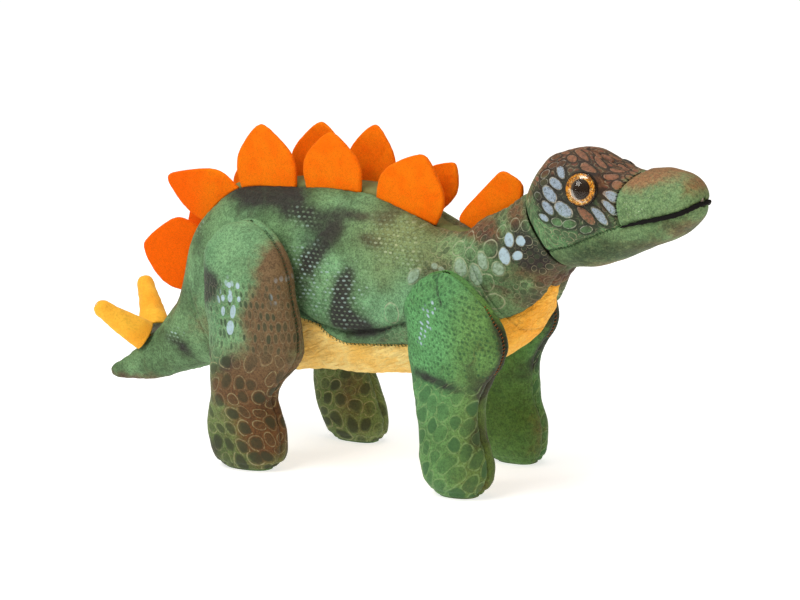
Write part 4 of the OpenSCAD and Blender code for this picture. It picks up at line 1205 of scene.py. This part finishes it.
def plate(name, spec, side, body, seed, bulge=0.0, wide=1.0):
    """A felt plate sewn to the back; bulge bows it forward, and wide makes its middle wider."""
    xa, xb, tip_x, tip_z = spec
    rows, cols = 44, 34
    f = 0.5 - 0.5 * np.cos(np.pi * (0.12 + 0.76 * np.linspace(0, 1, cols)))
    f = (f - f[0]) / (f[-1] - f[0])
    line = back_line(side)
    base = np.stack([np.interp(xa + (xb - xa) * f, line[:, 0], line[:, i]) for i in range(3)], -1)
    mid, run = (base[0] + base[-1]) / 2, base[-1] - base[0]
    length, ahead = np.linalg.norm(run), unit(run)
    lean = side * (2.0 + np.random.default_rng(seed).uniform(-0.8, 1.2))
    tip = np.array([tip_x, mid[1] + lean, tip_z])
    t = np.linspace(0, 1, rows) ** 0.9
    width = np.interp(t, LEAF[:, 0], LEAF[:, 1]) * (1 + (wide - 1) * np.sin(np.pi * t))
    width = np.convolve(np.pad(width, 2, "edge"), np.ones(5) / 5, "valid")
    width[-1] = 0.03
    t, width, f = t[:, None, None], width[:, None, None], f[:, None]
    grid = mid + (tip - mid) * t + (f - 0.5) * width * run
    grid = grid + (1 - t) ** 2 * (base - mid - (f - 0.5) * run)
    grid = grid + bulge * np.sin(np.pi * t) ** 1.5 * ahead
    grid = grid + unit(mid - tip) * (1.6 * smooth(t, 0.25, 0.0))
    n = normals(grid, np.array([mid[0], -1000 * (side or 1), mid[2]]))
    bend = 0.9 * waves(grid, 48, seed) + 0.25 * waves(grid, 16, seed + 3)
    grid = grid + n * bend[..., None] * t
    edge = np.minimum(f, 1 - f) * length * width
    edge = np.minimum(edge, (1 - t) * np.linalg.norm(tip - mid) * 0.8)
    half = FELT_HALF * (0.45 + 0.55 * np.sqrt(1 - (1 - np.clip(edge / 1.2, 0, 1)) ** 2))
    half = half + 0.07 * waves(grid, 3.2, seed + 7)[..., None]
    grid = grid + (f - 0.5) * ahead * (0.1 * waves(grid, 2.6, seed + 9))[..., None]
    piece = shell(name, grid + n * half, grid - n * half, n, {"place": grid}, FELT)
    dress(piece, "orange_felt", name.replace("felt_", ""), body=body)


def build_plates():
    for i, (spec, bulge) in enumerate(zip(RIGHT_ROW, RIGHT_BULGE)):
        plate(f"felt_plate_right_{i + 1}", spec, -1, "torso", 200 + i, bulge)
    for i, spec in enumerate(LEFT_ROW):
        plate(f"felt_plate_left_{i + 1}", spec, 1, "torso", 220 + i)
    plate("felt_plate_neck", NECK_PLATE, 0, "neck", 240, -5.4, 1.26)


# ---------------------------------------------------------------- stitches
def stitches(name, surface, u, a, depth, length, width, gap, material, body):
    """Short slanting threads across a seam, one every gap millimetres."""
    grid, n = surface(u[:, None], a[:, None] + [[-1.5, 0, 1.5]])
    path, n = grid[:, 1] - n[:, 1] * depth, n[:, 1]
    run = run_length(path)
    marks = np.arange(gap, run[-1] - gap * 0.5, gap)
    centre, up, ahead = (np.stack([np.interp(at, run, line[:, i]) for i in range(3)], -1)
                         for at, line in ((marks, path), (marks, n), (marks + 0.5, path)))
    up, tangent = unit(up), unit(ahead - centre)
    f = np.linspace(-1, 1, 7)[:, None]
    parts = []
    for c, out, t, x in zip(centre, up, tangent, np.cross(tangent, up)):
        thread_path = c + unit(x + t * 0.35) * f * length / 2 + out * (0.3 * width - 0.45 * f ** 2)
        parts.append(sweep(thread_path, width / 2, 6))
    points, faces = join(parts)
    piece = make_mesh(name, points, faces, {"place": points}, material)
    dress(piece, "black_trim", body=body)


def build_stitches():
    for side, tag in ((1, "left"), (-1, "right")):
        a = mirrored(side, np.linspace(-14, 86, 60))
        stitches(f"snout_stitches_{tag}", head_surface, seam_u(a), a, 0.75, 1.5, 0.34, 1.9, BLACK_THREAD,
                 "head")
        u = np.linspace(0.15, 4.3, 60)
        stitches(f"cheek_stitches_{tag}", head_surface, u, mirrored(side, along(HEAD, u)[:, 5]), 0.75,
                 1.1, 0.3, 1.8, GREEN_THREAD, "head")
        u = np.linspace(8.9, 11.6, 90)
        stitches(f"belly_stitches_{tag}", body_surface, u, mirrored(side, along(BODY, u)[:, 5]), 0.9,
                 1.3, 0.34, 1.9, GREEN_THREAD, "torso")
    for leg, spec in LEGS.items():
        front, u = leg.startswith("front"), leg_rows(leg, 200)
        z = along(spec[0], u)[:, 0]
        u = u[(z > (58 if front else 56)) & (z < (92 if front else 112))]
        stitches(f"{leg}_seam_stitches", lambda u, a: leg_surface(leg, u, a), u, 0 * u + 0.5, 0.8,
                 1.6, 0.4, 1.7, RUST_THREAD if front else GREEN_THREAD, f"{leg}_leg")


# ---------------------------------------------------------------- tail spikes
def build_spikes():
    for tag, side in (("left", 1), ("right", -1)):
        root = np.array([-140, side * 5.2, 47])
        tip = np.array([-156.6 + 0.3 * side, side * 21, 65.6 + 2.4 * side])
        cap = 0.84 + 0.16 * np.sin(np.linspace(0.08, 1, 14) * np.pi / 2)
        f = np.concatenate([np.linspace(0, 0.84, 30), cap])[:, None]
        radius = np.interp(f, [0, 0.2, 0.5, 0.84], [7.0, 6.8, 5.5, 4.3])
        radius = radius * np.sqrt(np.clip(1 - np.clip((f - 0.84) / 0.16, 0, 1) ** 2, 0.0016, 1))
        path = root + (tip - root) * f - np.array([-0.3, side * 0.2, 0.9]) * 3.0 * f * (1 - f)
        t = unit(np.gradient(path, axis=0))
        p = unit(np.cross(t, [0, 1, 0]))
        q = np.cross(t, p)
        a = np.linspace(0, 2 * np.pi, 48)[:, None]
        around = p[:, None] * np.cos(a) + q[:, None] * np.sin(a)
        path, radius = path[:, None], radius[:, None]
        grid = path + radius * around
        n = normals(grid, path + 0 * grid)
        grid = grid + n * (0.25 * waves(grid, 9, 301) + 0.1 * waves(grid, 4, 302))[..., None]
        grid = seam_relief(grid, n, 0.5, 1.0, 0.15, 303)
        piece = sewn(f"spike_cloth_{tag}", grid, n, {"place": grid}, SPIKE_CLOTH, SPIKE, 1.2)
        dress(piece, "yellow_plush", f"spike_{tag}", body="tail", fill=0.9)
        rings = path[2:-4] + (radius[2:-4] - 1.6) * around[2:-4, :-1]
        piece = closed_loft(f"spike_filling_{tag}", rings, FILL)
        dress(piece, "stuffing", f"spike_{tag}_stuffing", body="tail")


# ---------------------------------------------------------------- stage, light and camera
FLOOR_HALF = 60.0
# Each lamp's place, width, power and colour.
LAMPS = {"key": ((-0.35, -1.05, 1.25), 0.8, 16.5, (1, 0.99, 0.97)),
         "side": ((1.35, -0.5, 0.35), 0.5, 4.0, (1, 0.62, 0.32)),
         "top": ((-0.1, 0.2, 1.4), 0.9, 8.0, (1, 0.99, 0.97))}
LAMP_TARGET = np.array([0, 0, 0.08])
# The camera looks from the right of the head, this far round and above the ground.
VIEW_TURN, VIEW_HEIGHT = np.radians(31.0), np.radians(12.7)
VIEW_TARGET = np.array([-0.0128, 0.012, 0.0751])
PIXELS_PER_M, IMAGE_WIDTH = 2177.0, 800


def aimed(name, data, place, target):
    """Puts a lamp or camera at a place, looking at the target."""
    back = unit(place - target)
    right = unit(np.cross([0, 0, 1], back))
    m = np.eye(4)
    m[:3, :] = np.stack([right, np.cross(back, right), back, place], -1)
    o = bpy.data.objects.new(name, data)
    bpy.context.scene.collection.objects.link(o)
    o.matrix_world = Matrix(m.tolist())
    return o


def build_stage():
    g = Graph("pale_floor")
    colour = g.mix(g.noise(g.object_place(), 6.0, 2.0), (0.62, 0.62, 0.62), (0.64, 0.64, 0.64))
    glow = {"Emission Color": (1, 1, 1, 1), "Emission Strength": 0.68}
    mesh = bpy.data.meshes.new("floor")
    corners = [(x * FLOOR_HALF, y * FLOOR_HALF, 0) for x, y in ((-1, -1), (1, -1), (1, 1), (-1, 1))]
    mesh.from_pydata(corners, [], [[0, 1, 2, 3]])
    mesh.materials.append(g.finish(colour, 0.95, glow))
    floor = bpy.data.objects.new("floor", mesh)
    bpy.context.scene.collection.objects.link(floor)
    world = bpy.data.worlds.new("studio")
    world.use_nodes = True
    background = world.node_tree.nodes["Background"].inputs
    background[0].default_value, background[1].default_value = (1.0, 0.93, 0.82, 1), 0.24
    bpy.context.scene.world = world
    for name, (place, width, power_w, tint) in LAMPS.items():
        lamp = bpy.data.lights.new(name, "AREA")
        lamp.energy, lamp.size, lamp.color = power_w, width, tint
        aimed(name, lamp, np.array(place), LAMP_TARGET)


def build_camera():
    camera = bpy.data.cameras.new("camera")
    camera.lens = 1200
    camera.clip_end = 100
    level = np.cos(VIEW_HEIGHT)
    back = np.array([np.sin(VIEW_TURN) * level, -np.cos(VIEW_TURN) * level, np.sin(VIEW_HEIGHT)])
    distance = camera.lens / camera.sensor_width * IMAGE_WIDTH / PIXELS_PER_M
    bpy.context.scene.camera = aimed("camera", camera, VIEW_TARGET + back * distance, VIEW_TARGET)


build_stage()
build_camera()
build_body()
build_fillings()
build_head()
for leg_name in LEGS:
    build_leg(leg_name)
build_plates()
build_spikes()
build_stitches()
bpy.context.scene.view_settings.view_transform = "Standard"
bpy.context.scene.view_settings.look = "None"
